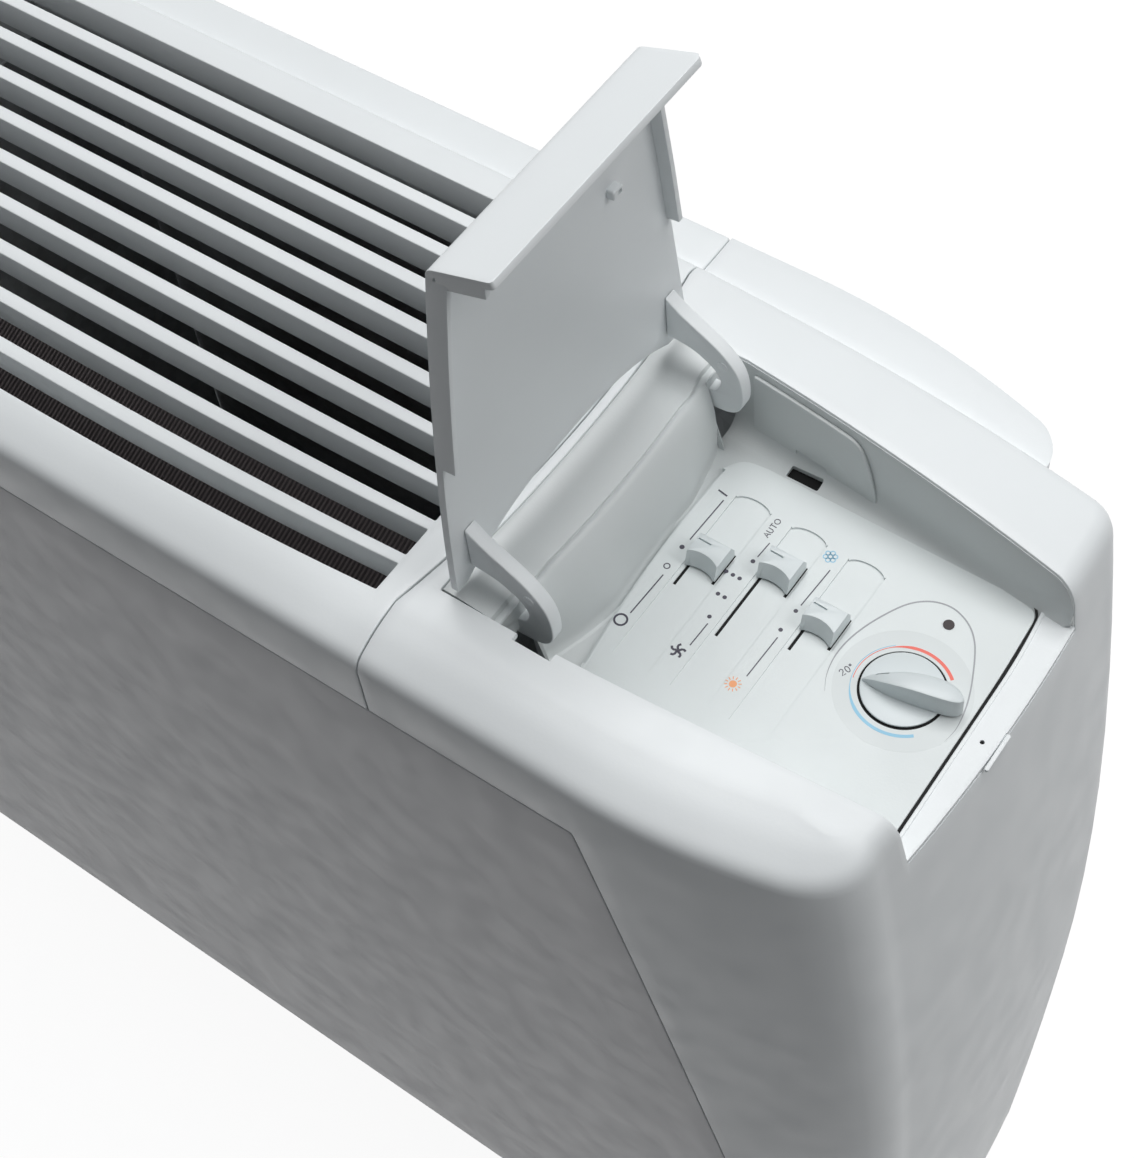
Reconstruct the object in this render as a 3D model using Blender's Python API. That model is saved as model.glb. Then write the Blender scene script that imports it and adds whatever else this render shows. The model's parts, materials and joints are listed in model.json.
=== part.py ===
"""Floor standing fan coil unit with an open control flap on its right end.

X runs along the cabinet (+X is the end with the controls), -Y is the front, +Y the wall, +Z up.
The origin is the middle of the footprint, on the floor. Sizes are in metres.
"""
import math

import bmesh
import bpy
from mathutils import Vector

# Overall sizes of the cabinet
LENGTH = 0.783
FRONT_Y = -0.115
LEDGE_WIDTH = 0.0205
FOOT_HEIGHT = 0.085
CABINET_HEIGHT = 0.564
HEAD_LENGTH = 0.2105
SHELL_WALL = 0.0025
SHEET = 0.0014
SEAM_GAP = 0.0006
CLEARANCE = 0.0004

# How the moulded shell curves
END_TUCK_TOP = 0.0305
END_TUCK_BOTTOM = 0.003
END_BULGE_HEIGHT = 0.216
FRONT_TUCK = 0.010
END_BOW = 0.0235
BOW_REACH = 0.097
CORNER_REACH = 0.024
END_CROWN = 0.006
CROWN_Y = 0.010
CROWN_PAST = 0.015
REAR_CORNER = 0.0145
REAR_SKIN_TAPER = 0.0095
HEAD_FALL = 0.0155
HEAD_FALL_START = 0.170
REAR_FALL = 0.007
CREST_Y = -0.029
SEAM_BULGE = 0.009

# Rounded edges of the shell, as (inset, drop) from the side up to the flat, and where its points lie
FRONT_EDGE = (
    (0.0, 0.0130), (0.0008, 0.0100), (0.0030, 0.0072), (0.0070, 0.0050), (0.0140, 0.0022), (0.0240, 0.0),
)
END_EDGE = ((0.0, 0.0090), (0.0007, 0.0055), (0.0022, 0.0026), (0.0042, 0.0009), (0.0064, 0.0), (0.0085, 0.0))
REAR_EDGE = (
    (0.0, 0.0070), (0.0007, 0.0038), (0.0024, 0.0015), (0.0043, 0.0004), (0.0062, 0.0), (0.0085, 0.0),
)
SKIN_LEVELS = (0.0, 0.070, 0.145, 0.216, 0.300, 0.390, 0.460, 0.500, 0.526)
FRONT_STEPS = (0.0, 0.22, 0.42, 0.60, 0.75, 0.88, 1.0)
CORNER_STEPS = (0.2, 0.4, 0.6, 0.8, 1.0)
END_PARTS = 6
PAIRS = len(FRONT_STEPS) + len(CORNER_STEPS)
COLUMNS = 2 * PAIRS + END_PARTS - 1

# Ledge behind the shell
LEDGE_DROP = 0.0135
LEDGE_HEIGHT = 0.0365
LEDGE_FALL = 0.8
LEDGE_BEND = 0.015
LEDGE_BEND_REACH = 0.115
LEDGE_CORNER = 0.012
LEDGE_INSET = 0.061

# Control deck: the dial's centre is its datum
DIAL_INSET = 0.0615
DIAL_Y = -0.009
PANEL_DROP = 0.038
FASCIA_THICKNESS = 0.0025
FASCIA_REAR = 0.0545
FASCIA_GROOVE = 0.0015
FASCIA_START = 0.0105
FASCIA_INSET = 0.0010
FASCIA_CORNER = 0.006
MOULDING_DROP = 0.038

# Opening under the flap
OPENING_START = 0.107
OPENING_END = 0.034
OPENING_FRONT_Y = -0.079
OPENING_FRONT_TAPER = 0.0155
OPENING_REAR_Y = 0.061
OPENING_REAR_TAPER = 0.0158
ARM_SLOT_WIDTH = 0.0135
ARM_SLOT_REACH = 0.008
HUMP_REACH = 0.024
HUMP_BULGE = 0.008
HUMP_FALL = 0.0025
HUMP_PARTS = 6
HUMP_STEP = 0.0040
REBATE_WIDTH = 0.0030
SHELF_DROP = 0.0005
SHELF_THICKNESS = 0.0020
SHELF_WIDTH = 0.0093
SHELF_REACH = 0.0368
WALL_END_DROP = 0.010
WEB = 0.0022
TUB_STEPS = (0.0095, 0.027, 0.052, 0.077, 0.102, 0.122)

# Flap and its two curved arms
PIVOT_INSET = 0.122
PIVOT_HEIGHT = 0.026
OPEN_ANGLE = math.radians(96.7)
FLAP_SLOPE = math.radians(6.4)
FLAP_EDGE = (0.016, 0.0108)
FLAP_LENGTH = 0.142
FLAP_THICKNESS = 0.0028
FLAP_SIDE_GAP = 0.0011
LIP_LENGTH = 0.026
LIP_FLARE = math.radians(12.0)
RIB_LENGTH = 0.070
RIB_DEPTH = 0.0050
RIB_WIDTH = 0.0022
ARM_WIDTH = 0.0055
ARM_HALF_HEIGHT = 0.0040
ARM_EYE_RADIUS = 0.0055
ARM_SPINE = (
    (0.0385, -0.0050), (0.0345, -0.0120), (0.0275, -0.0175),
    (0.0175, -0.0202), (0.0075, -0.0188), (-0.0005, -0.0130),
)
ARM_PAD_START = 0.0130
ARM_PAD_END = 0.0370
ARM_EYE_START = math.radians(-58.0)
ARM_EYE_SWEEP = math.radians(262.0)
PIN_RADIUS = 0.0021

# Sliders, dial and what is under them
SLIDER_PITCH = 0.0242
SLIDER_FIRST_X = -0.0840
SLIDER_WIDTH = 0.0130
SLIDER_DEPTH = 0.0130
SLIDER_HEIGHT = 0.0075
SLIDER_REAR_SHARE = 0.55
SLIDER_FRONT_SHARE = 0.92
SLIDER_LEG = 0.0016
SLIDER_LEG_INSET = 0.0006
SLIDER_LEG_DEPTH = 0.0090
SLIDER_LEG_DROP = 0.0070
SLIDER_STEP = 0.0096
SLIDER_Y = (0.0088, 0.0179, 0.0076)
SLIDER_STEPS = (1, 3, 1)
SLOT_CLEARANCE = 0.0004
DIAL_RADIUS = 0.0140
DIAL_HEIGHT = 0.0035
GRIP_HEIGHT = 0.0120
GRIP_TURN = math.radians(10.5)
GRIP_TIP = 0.0137
GRIP_TAIL = 0.0208
GRIP_TIP_WIDTH = 0.0040
GRIP_TAIL_WIDTH = 0.0110
GRIP_SHAPE = ((-0.19, 0.95), (0.48, 1.0), (0.81, 0.8), (1.0, 0.35))
SPINDLE_DROP = 0.0110
SPINDLE_RADIUS = 0.0030
LENS_Y = 0.0311
LENS_RADIUS = 0.0020
BOARD_DROP = 0.0190
BOARD_THICKNESS = 0.0016
BOARD_OVERHANG = 0.010
BOARD_FRONT_GAP = 0.020
BOARD_REAR_GAP = 0.008
SWITCH_GAP = 0.0012
SWITCH_OVERHANG = 0.002
THERMOSTAT_RADIUS = 0.011
LENS_STAND = 0.0004

# Air outlet
SLOT_COUNT = 10
SLOT_PITCH = 0.0179
SLOT_WIDTH = 0.0122
SLOT_FIRST_Y = -0.0960
REAR_BAND = 0.0172
SLOT_BOW = 0.006
SLAT_DEPTH = 0.0130
SLAT_STATIONS = (-1.0, -0.955, -0.87, -0.72, -0.52, -0.27, 0.0, 0.27, 0.52, 0.72, 0.87, 0.955, 1.0)
BAND_FOOT_DROP = 0.006

# Chassis, fans, coil and filter
SIDE_PLATE_INSET = 0.009
BACK_PLATE_INSET = 0.070
DECK_FRONT_GAP = 0.020
OUTLET_HALF_DEPTH = 0.040
OUTLET_MARGIN = 0.006
DECK_Z = 0.258
FAN_Z = 0.168
FAN_Y = -0.020
WHEEL_RADIUS = 0.062
WHEEL_INNER_RADIUS = 0.050
WHEEL_SIDE_ROOM = 0.018
WHEEL_BLADES = 15
SCROLL_CLEARANCE = 0.006
SCROLL_GROWTH = 0.016
SCROLL_TONGUE = math.radians(60.0)
SCROLL_PLATE = 0.0020
SCROLL_SIDE_GAP = 0.008
SCROLL_REACH = 0.120
INLET_CLEARANCE = 0.002
HUB_RADIUS = 0.014
WHEEL_RING = 0.004
WHEEL_DISC = 0.003
BLADE_LEAN = math.radians(9.0)
CRADLE_WIDTH = 0.024
CRADLE_WALL = 0.012
SHAFT_OVERHANG = 0.020
MOTOR_RADIUS = 0.040
MOTOR_LENGTH = 0.080
SHAFT_RADIUS = 0.005
MOTOR_ROOM = 0.018
COIL_THICKNESS = 0.048
COIL_HEIGHT = 0.225
COIL_TILT = math.radians(22.0)
COIL_Z = 0.432
COIL_Y = 0.010
FIN_COUNT = 26
COIL_END_ROOM = 0.016
COIL_PLATE = 0.0016
FIN_GROOVE = 0.004
BEND_REACH = 0.012
BEND_MARGIN = 0.017
BEND_COUNT = 4
BEND_TUBE_RADIUS = 0.0036
PIPE_RADIUS = 0.0080
PIPE_OFFSET = 0.022
PIPE_FOOT = 0.060
PIPE_TOP = 0.070
FLOW_Y = -0.050
RETURN_Y = 0.034
BRACKET_DEPTH = 0.024
BRACKET_HEIGHT = 0.020
VENT_BORE = 0.0026
VENT_HEIGHT = 0.018
VENT_SCREW_RADIUS = 0.0022
VENT_SCREW_LOW = 0.002
VENT_SCREW_HIGH = 0.024
TRAY_WALL = 0.0012
TRAY_OFFSET = 0.012
TRAY_DEPTH = 0.080
TRAY_HEIGHT = 0.022
BOX_REACH = 0.090
BOX_FRONT_Y = -0.060
BOX_REAR_Y = 0.030
BOX_FLOOR_Z = 0.430
BOX_HEIGHT = 0.070
BOX_WALL = 0.0020
TERMINAL_COUNT = 6
TERMINAL_PITCH = 0.011
TERMINAL_GAP = 0.0015
TERMINAL_INSET = 0.012
TERMINAL_FRONT_Y = -0.030
TERMINAL_DEPTH = 0.018
TERMINAL_BASE = 0.010
TERMINAL_HEIGHT = 0.016
GLAND_Y = 0.005
GLAND_BORE = 0.0045
GLAND_RADIUS = 0.0085
GLAND_LENGTH = 0.018
FILTER_THICKNESS = 0.007
FILTER_DROP = 0.003
FILTER_BORDER = 0.009
FILTER_RIB = 0.005
FILTER_FRONT_REACH = 0.030
FILTER_REAR_GAP = 0.020
RAIL_WALL = 0.0012
RAIL_LIP = 0.006
RAIL_PLAY = 0.0006
RAIL_FRONT_GAP = 0.004
RAIL_REAR_GAP = 0.010
FOOT_END_INSET = 0.1615
FOOT_WIDTH = 0.080
FOOT_FRONT_Y = -0.060
FOOT_WALL_GAP = 0.004
FOOT_ROUNDING = 0.004
SCREEN = 0.0012

# Places worked out from the sizes above
HALF = LENGTH / 2
TOP_Z = FOOT_HEIGHT + CABINET_HEIGHT
REAR_SKIN_Y = SLOT_FIRST_Y + (SLOT_COUNT - 1) * SLOT_PITCH + SLOT_WIDTH + REAR_BAND
REAR_SKIN_END_Y = REAR_SKIN_Y - REAR_SKIN_TAPER
CROWN_REACH = REAR_SKIN_END_Y - CROWN_Y + CROWN_PAST
WALL_Y = REAR_SKIN_Y + LEDGE_WIDTH
FOOT_INNER_X = HALF - FOOT_END_INSET - FOOT_WIDTH
SEAM_X = HALF - HEAD_LENGTH
DIAL_X = HALF - DIAL_INSET
PANEL_Z = TOP_Z - PANEL_DROP
MOULDING_Z = TOP_Z - MOULDING_DROP
LEDGE_Z = TOP_Z - LEDGE_DROP
LEDGE_END_X = HALF - LEDGE_INSET
BULGE_Z = FOOT_HEIGHT + END_BULGE_HEIGHT
OPENING_X = DIAL_X - OPENING_START
OPENING_END_X = DIAL_X + OPENING_END
PIVOT = Vector((DIAL_X - PIVOT_INSET, 0.0, PANEL_Z + PIVOT_HEIGHT))
SHELF_Z = PANEL_Z - SHELF_DROP
SHELF_X = DIAL_X + SHELF_REACH
SHELF_SKIN_Z = SHELF_Z - SHELF_THICKNESS - CLEARANCE
SIDE_PLATE_X = SEAM_X - SIDE_PLATE_INSET
WHEEL_WIDTH = SIDE_PLATE_X - WHEEL_SIDE_ROOM - MOTOR_LENGTH / 2 - MOTOR_ROOM
WHEEL_OFFSET = MOTOR_LENGTH / 2 + MOTOR_ROOM + WHEEL_WIDTH / 2
BEND_PITCH = (COIL_HEIGHT - BEND_MARGIN) / BEND_COUNT
SLIDER_X = [DIAL_X + SLIDER_FIRST_X + n * SLIDER_PITCH for n in range(3)]


def clear_scene():
    """Empties the scene before the model is built."""
    for old in list(bpy.data.objects):
        bpy.data.objects.remove(old, do_unlink=True)


def material(name, colour, roughness, metallic=0.0):
    """A plain finish with the piece's own colour."""
    found = bpy.data.materials.get(name)
    if found:
        return found
    finish = bpy.data.materials.new(name)
    finish.use_nodes = True
    shader = finish.node_tree.nodes["Principled BSDF"]
    shader.inputs["Base Color"].default_value = (*colour, 1.0)
    shader.inputs["Roughness"].default_value = roughness
    shader.inputs["Metallic"].default_value = metallic
    finish.diffuse_color = (*colour, 1.0)
    return finish


def shell_plastic():
    return material("shell_plastic", (0.80, 0.83, 0.84), 0.45)


def panel_plastic():
    return material("panel_plastic", (0.68, 0.72, 0.71), 0.50)


def knob_plastic():
    return material("knob_plastic", (0.74, 0.77, 0.77), 0.40)


def painted_sheet():
    return material("painted_sheet", (0.70, 0.73, 0.74), 0.50)


def foot_plastic():
    return material("foot_plastic", (0.66, 0.69, 0.70), 0.50)


def galvanised():
    return material("galvanised", (0.58, 0.60, 0.61), 0.42, 0.9)


def dark_plastic():
    return material("dark_plastic", (0.06, 0.06, 0.07), 0.55)


def aluminium():
    return material("aluminium", (0.75, 0.76, 0.77), 0.35, 1.0)


def copper():
    return material("copper", (0.72, 0.42, 0.28), 0.35, 1.0)


def board_green():
    return material("board_green", (0.08, 0.26, 0.14), 0.50)


def lens_red():
    return material("lens_red", (0.55, 0.06, 0.05), 0.20)


def mesh_cloth():
    return material("mesh_cloth", (0.12, 0.13, 0.14), 0.80)


def make_object(name, shape, finish, parent=None, smooth=False):
    """Turns a bmesh into a named object with its faces pointing out."""
    bmesh.ops.remove_doubles(shape, verts=shape.verts, dist=1e-6)
    bmesh.ops.recalc_face_normals(shape, faces=shape.faces)
    mesh = bpy.data.meshes.new(name)
    shape.to_mesh(mesh)
    shape.free()
    piece = bpy.data.objects.new(name, mesh)
    bpy.context.scene.collection.objects.link(piece)
    mesh.materials.append(finish)
    if smooth:
        mesh.shade_smooth()
        mesh.set_sharp_from_angle(angle=math.radians(35.0))
    if parent:
        piece.parent = parent
    return piece


def empty(name, place, turn=(0.0, 0.0, 0.0)):
    """A joint's frame: an empty on its axis."""
    frame = bpy.data.objects.new(name, None)
    bpy.context.scene.collection.objects.link(frame)
    frame.location = place
    frame.rotation_euler = turn
    return frame


def cells(name, counts, corner, solid, finish, ring=False, parent=None, smooth=False):
    """A closed body of filled cells. corner gives a lattice point, solid says which cells are filled.

    With ring the second direction closes on itself.
    """
    shape = bmesh.new()
    points = {}
    ni, nj, nk = counts

    def point(i, j, k):
        key = (i, j % nj if ring else j, k)
        if key not in points:
            points[key] = shape.verts.new(corner(*key))
        return points[key]

    def filled(i, j, k):
        if ring:
            j %= nj
        inside = 0 <= i < ni and 0 <= j < nj and 0 <= k < nk
        return inside and solid(i, j, k)

    sides = (
        ((-1, 0, 0), ((0, 0, 0), (0, 0, 1), (0, 1, 1), (0, 1, 0))),
        ((1, 0, 0), ((1, 0, 0), (1, 1, 0), (1, 1, 1), (1, 0, 1))),
        ((0, -1, 0), ((0, 0, 0), (1, 0, 0), (1, 0, 1), (0, 0, 1))),
        ((0, 1, 0), ((0, 1, 0), (0, 1, 1), (1, 1, 1), (1, 1, 0))),
        ((0, 0, -1), ((0, 0, 0), (0, 1, 0), (1, 1, 0), (1, 0, 0))),
        ((0, 0, 1), ((0, 0, 1), (1, 0, 1), (1, 1, 1), (0, 1, 1))),
    )
    for i in range(ni):
        for j in range(nj):
            for k in range(nk):
                if not filled(i, j, k):
                    continue
                for (di, dj, dk), ring_of in sides:
                    if filled(i + di, j + dj, k + dk):
                        continue
                    shape.faces.new([point(i + a, j + b, k + c) for a, b, c in ring_of])
    return make_object(name, shape, finish, parent, smooth)


def lattice(name, xs, ys, zs, solid, finish, parent=None):
    """A body of cells on straight grid lines."""
    counts = (len(xs) - 1, len(ys) - 1, len(zs) - 1)
    return cells(name, counts, lambda i, j, k: (xs[i], ys[j], zs[k]), solid, finish, parent=parent)


def block(name, low, high, finish, parent=None, bevel=0.0):
    """A box between two corners, with rounded edges if asked."""
    shape = bmesh.new()
    bmesh.ops.create_cube(shape, size=1.0)
    for vert in shape.verts:
        for axis in range(3):
            vert.co[axis] = low[axis] if vert.co[axis] < 0 else high[axis]
    if bevel:
        bmesh.ops.bevel(shape, geom=shape.edges[:], offset=bevel, segments=2, affect="EDGES", profile=0.5)
    return make_object(name, shape, finish, parent)


def prism(name, outline, low, high, finish, axis="Z", parent=None):
    """An outline of (a, b) pairs carried from low to high along an axis."""
    place = {
        "X": lambda a, b, c: (c, a, b),
        "Y": lambda a, b, c: (a, c, b),
        "Z": lambda a, b, c: (a, b, c),
    }[axis]
    shape = bmesh.new()
    first = [shape.verts.new(place(a, b, low)) for a, b in outline]
    last = [shape.verts.new(place(a, b, high)) for a, b in outline]
    shape.faces.new(first)
    shape.faces.new(last)
    for n in range(len(outline)):
        m = (n + 1) % len(outline)
        shape.faces.new((first[n], first[m], last[m], last[n]))
    return make_object(name, shape, finish, parent)


def circle(centre, radius, count, start=0.0):
    """Points round a circle."""
    return [
        (centre[0] + radius * math.cos(start + math.tau * n / count),
         centre[1] + radius * math.sin(start + math.tau * n / count))
        for n in range(count)
    ]


def disc(name, centre, radius, low, high, finish, axis="Z", count=24, parent=None):
    """A solid cylinder. centre is in the plane across the axis."""
    piece = prism(name, circle(centre, radius, count), low, high, finish, axis, parent)
    piece.data.shade_smooth()
    piece.data.set_sharp_from_angle(angle=math.radians(35.0))
    return piece


def sleeve(name, centre, inner, outer, low, high, finish, axis="Z", count=24, parent=None):
    """A cylinder with a bore right through."""
    radii = (inner, outer)
    ends = (low, high)

    def corner(i, j, k):
        a = centre[0] + radii[i] * math.cos(math.tau * j / count)
        b = centre[1] + radii[i] * math.sin(math.tau * j / count)
        c = ends[k]
        return {"X": (c, a, b), "Y": (a, c, b), "Z": (a, b, c)}[axis]

    return cells(name, (1, count, 1), corner, lambda i, j, k: True, finish, True, parent, True)


def join(target, other):
    """Adds another solid to a piece and hides the tool."""
    boolean(target, other, "UNION")


def cut(target, tool):
    """Takes a tool's shape out of a piece."""
    boolean(target, tool, "DIFFERENCE")


def boolean(target, tool, operation):
    tool.hide_render = True
    tool.display_type = "WIRE"
    step = target.modifiers.new(operation.lower(), "BOOLEAN")
    step.operation = operation
    step.object = tool
    step.solver = "EXACT"


def end_x(z):
    """Half-length of the shell at a height: tucked in at the top and a little at the foot."""
    if z > BULGE_Z:
        return HALF - END_TUCK_TOP * ((z - BULGE_Z) / (TOP_Z - BULGE_Z)) ** 2
    return HALF - END_TUCK_BOTTOM * ((BULGE_Z - z) / END_BULGE_HEIGHT) ** 2


def front_y(z):
    """Front face of the shell at a height: it leans in towards the foot."""
    below = max(0.0, MOULDING_Z - z) / (MOULDING_Z - FOOT_HEIGHT)
    return FRONT_Y + FRONT_TUCK * below ** 2


def bow(distance):
    """How far the front draws back at a distance from the end."""
    return END_BOW * max(0.0, 1.0 - distance / BOW_REACH) ** 2


def crown(y):
    """How far the end face draws in towards its two corners."""
    return END_CROWN * ((y - CROWN_Y) / CROWN_REACH) ** 2


def shell_top(x, y):
    """Height of the top surface: it falls to both ends and to the rear."""
    along = max(0.0, abs(x) - (HALF - HEAD_FALL_START)) / (HEAD_FALL_START - 0.025)
    across = max(0.0, y - CREST_Y) / (REAR_SKIN_Y - CREST_Y)
    return TOP_Z - HEAD_FALL * along ** 2.2 - REAR_FALL * across ** 2


def seam_bulge(y):
    """How far the seam between grille and head swings out in its middle."""
    low = FRONT_Y + FRONT_EDGE[-1][0]
    high = REAR_SKIN_Y - REAR_EDGE[-1][0]
    share = min(1.0, max(0.0, (y - low) / (high - low))) * END_PARTS
    step = min(END_PARTS - 1, int(share))
    swing = [SEAM_BULGE * (1.0 - (2.0 * n / END_PARTS - 1.0) ** 2) for n in (step, step + 1)]
    return swing[0] + (swing[1] - swing[0]) * (share - step)


def opening_front(x):
    """Front edge of the opening under the flap."""
    along = max(0.0, x - OPENING_X) / (OPENING_END_X - OPENING_X)
    return OPENING_FRONT_Y + OPENING_FRONT_TAPER * along ** 1.6


def opening_rear(x):
    """Rear edge of the opening under the flap."""
    along = max(0.0, x - OPENING_X) / (OPENING_END_X - OPENING_X)
    return OPENING_REAR_Y - OPENING_REAR_TAPER * along


def hump_rows():
    """Evenly spaced places along the hump's seam, between the two arm slots."""
    low_y = OPENING_FRONT_Y + ARM_SLOT_WIDTH
    high_y = OPENING_REAR_Y - ARM_SLOT_WIDTH
    return [low_y + (high_y - low_y) * n / HUMP_PARTS for n in range(HUMP_PARTS + 1)]


def hump_x(y):
    """Where the head's shell ends and the tub's hump begins: a seam that swings out in its middle."""
    rows = hump_rows()
    share = min(1.0, max(0.0, (y - rows[0]) / (rows[-1] - rows[0]))) * HUMP_PARTS
    step = min(HUMP_PARTS - 1, int(share))
    swing = [HUMP_BULGE * (1.0 - (2.0 * n / HUMP_PARTS - 1.0) ** 2) for n in (step, step + 1)]
    return OPENING_X - HUMP_REACH + swing[0] + (swing[1] - swing[0]) * (share - step)


def wedge_x(z):
    """Where the front panel ends and the moulded end begins, at a height."""
    below = MOULDING_Z - z
    return DIAL_X - 0.063 + 0.26 * below - 0.165 * below ** 2


def bezier(a, control, b, t):
    """A point on a quadratic curve."""
    u = 1.0 - t
    return (
        u * u * a[0] + 2 * u * t * control[0] + t * t * b[0],
        u * u * a[1] + 2 * u * t * control[1] + t * t * b[1],
    )


def plan(column, z):
    """A point of the shell's outline at a height, from the front seam round to the rear seam."""
    reach = end_x(z)
    start = (reach - CORNER_REACH, front_y(z) + bow(CORNER_REACH))
    slope = 2 * END_BOW / BOW_REACH * (1.0 - CORNER_REACH / BOW_REACH)
    finish_y = start[1] + CORNER_REACH * 1.15
    finish = (reach - crown(finish_y), finish_y)
    turn = (reach - 0.6 * crown(finish_y), start[1] + slope * CORNER_REACH)
    rear_y = REAR_SKIN_END_Y - REAR_CORNER
    rear = (reach - crown(rear_y), rear_y)
    rear_turn = (reach - crown(rear_y), REAR_SKIN_END_Y)
    rear_end = (reach - REAR_CORNER, REAR_SKIN_END_Y)
    if column < len(FRONT_STEPS):
        x = SEAM_X + SEAM_GAP / 2 + FRONT_STEPS[column] * (start[0] - SEAM_X - SEAM_GAP / 2)
        return x, front_y(z) + bow(reach - x)
    if column < PAIRS:
        return bezier(start, turn, finish, CORNER_STEPS[column - len(FRONT_STEPS)])
    if column < PAIRS + END_PARTS - 1:
        y = finish_y + (rear_y - finish_y) * (column - PAIRS + 1) / END_PARTS
        return reach - crown(y), y
    back = COLUMNS - 1 - column
    if back < len(FRONT_STEPS):
        x = SEAM_X + SEAM_GAP / 2 + FRONT_STEPS[back] * (rear_end[0] - SEAM_X - SEAM_GAP / 2)
        y = REAR_SKIN_Y + (REAR_SKIN_END_Y - REAR_SKIN_Y) * FRONT_STEPS[back]
        return x, y
    return bezier(rear_end, rear_turn, rear, CORNER_STEPS[back - len(FRONT_STEPS)])


def edge_share(column):
    """How much a column follows the front, end and rear edge shapes."""
    if column < len(FRONT_STEPS):
        return 1.0, 0.0, 0.0
    if column < PAIRS:
        turned = CORNER_STEPS[column - len(FRONT_STEPS)]
        return 1.0 - turned, turned, 0.0
    back = COLUMNS - 1 - column
    if back < len(FRONT_STEPS):
        return 0.0, 0.0, 1.0
    if back < PAIRS:
        turned = CORNER_STEPS[back - len(FRONT_STEPS)]
        return 0.0, turned, 1.0 - turned
    return 0.0, 1.0, 0.0


def skin_point(column, row):
    """A point of the rounded edge, row by row from the side up to the flat of the top."""
    shares = edge_share(column)
    rows = (FRONT_EDGE[row], END_EDGE[row], REAR_EDGE[row])
    inset = sum(share * pair[0] for share, pair in zip(shares, rows))
    drop = sum(share * pair[1] for share, pair in zip(shares, rows))
    z = PANEL_Z + 0.020
    for _ in range(3):
        x, y = plan(column, z)
        z = shell_top(x, y) - drop
    before = plan(max(column - 1, 0), z)
    after = plan(min(column + 1, COLUMNS - 1), z)
    along = Vector((after[0] - before[0], after[1] - before[1], 0.0)).normalized()
    inward = Vector((-along.y, along.x, 0.0))
    if column in (0, COLUMNS - 1):
        inward = Vector((0.0, inward.y, 0.0)).normalized()
    spot = Vector((x, y, 0.0)) + inward * inset
    return Vector((spot.x, spot.y, shell_top(spot.x, spot.y) - drop))


def head_skin(side):
    """The outer surface of one end of the cabinet as an open sheet."""
    shape = bmesh.new()
    grid = []
    for level in SKIN_LEVELS:
        z = FOOT_HEIGHT + level
        grid.append([Vector((*plan(column, z), z)) for column in range(COLUMNS)])
    for row in range(len(FRONT_EDGE)):
        grid.append([skin_point(column, row) for column in range(COLUMNS)])
    top = []
    for pair in range(PAIRS):
        if pair == PAIRS - 1:
            top.append([grid[-1][column] for column in range(PAIRS - 1, COLUMNS - PAIRS + 1)])
            continue
        a = grid[-1][pair]
        b = grid[-1][COLUMNS - 1 - pair]
        fade = max(0.0, 1.0 - (a.x - SEAM_X) / (OPENING_X - SEAM_X))
        line = [a]
        for part in range(1, END_PARTS):
            spot = a.lerp(b, part / END_PARTS)
            x = spot.x + seam_bulge(spot.y) * fade
            line.append(Vector((x, spot.y, shell_top(x, spot.y))))
        top.append(line + [b])

    made = {}

    def vert(point):
        key = tuple(round(value, 7) for value in point)
        if key not in made:
            made[key] = shape.verts.new((point.x * side, point.y, point.z))
        return made[key]

    def face(a, b, c, d):
        ring = [vert(a), vert(b), vert(c), vert(d)]
        shape.faces.new(ring if side > 0 else ring[::-1])

    for row in range(len(grid) - 1):
        for column in range(COLUMNS - 1):
            face(grid[row][column], grid[row][column + 1], grid[row + 1][column + 1], grid[row + 1][column])
    for pair in range(PAIRS - 1):
        for part in range(END_PARTS):
            face(top[pair][part], top[pair + 1][part], top[pair + 1][part + 1], top[pair][part + 1])
    return shape


def end_cap(name, side):
    """A moulded end: head, end face and the part that wraps round the front corner."""
    shape = head_skin(side)
    mesh = bpy.data.meshes.new(name)
    shape.to_mesh(mesh)
    shape.free()
    cap = bpy.data.objects.new(name, mesh)
    bpy.context.scene.collection.objects.link(cap)
    mesh.materials.append(shell_plastic())
    mesh.shade_smooth()
    mesh.set_sharp_from_angle(angle=math.radians(40.0))
    wall = cap.modifiers.new("wall", "SOLIDIFY")
    wall.thickness = SHELL_WALL
    wall.offset = -1.0
    wall.use_even_offset = True
    cut(cap, wedge_tool(f"{name}_wedge_tool", side))
    far_x = HALF - 0.060
    low = (min(side * (SEAM_X - 0.01), side * far_x), REAR_SKIN_END_Y - 0.014, FOOT_HEIGHT - 0.01)
    high = (max(side * (SEAM_X - 0.01), side * far_x), WALL_Y + 0.01, LEDGE_Z - LEDGE_HEIGHT)
    cut(cap, block(f"{name}_rear_tool", low, high, dark_plastic()))
    return cap


def wedge_tool(name, side):
    """Takes away the moulded end where the front panel lies."""
    count = 8
    low_z = FOOT_HEIGHT - 0.01
    edge = []
    for n in range(count + 1):
        z = MOULDING_Z + (low_z - MOULDING_Z) * n / count
        edge.append((side * (wedge_x(z) + SEAM_GAP / 2), z))
    outline = [(side * (SEAM_X - 0.01), MOULDING_Z)] + edge + [(side * (SEAM_X - 0.01), low_z)]
    return prism(name, outline, FRONT_Y - 0.01, FRONT_Y + 0.045, dark_plastic(), "Y")


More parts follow.
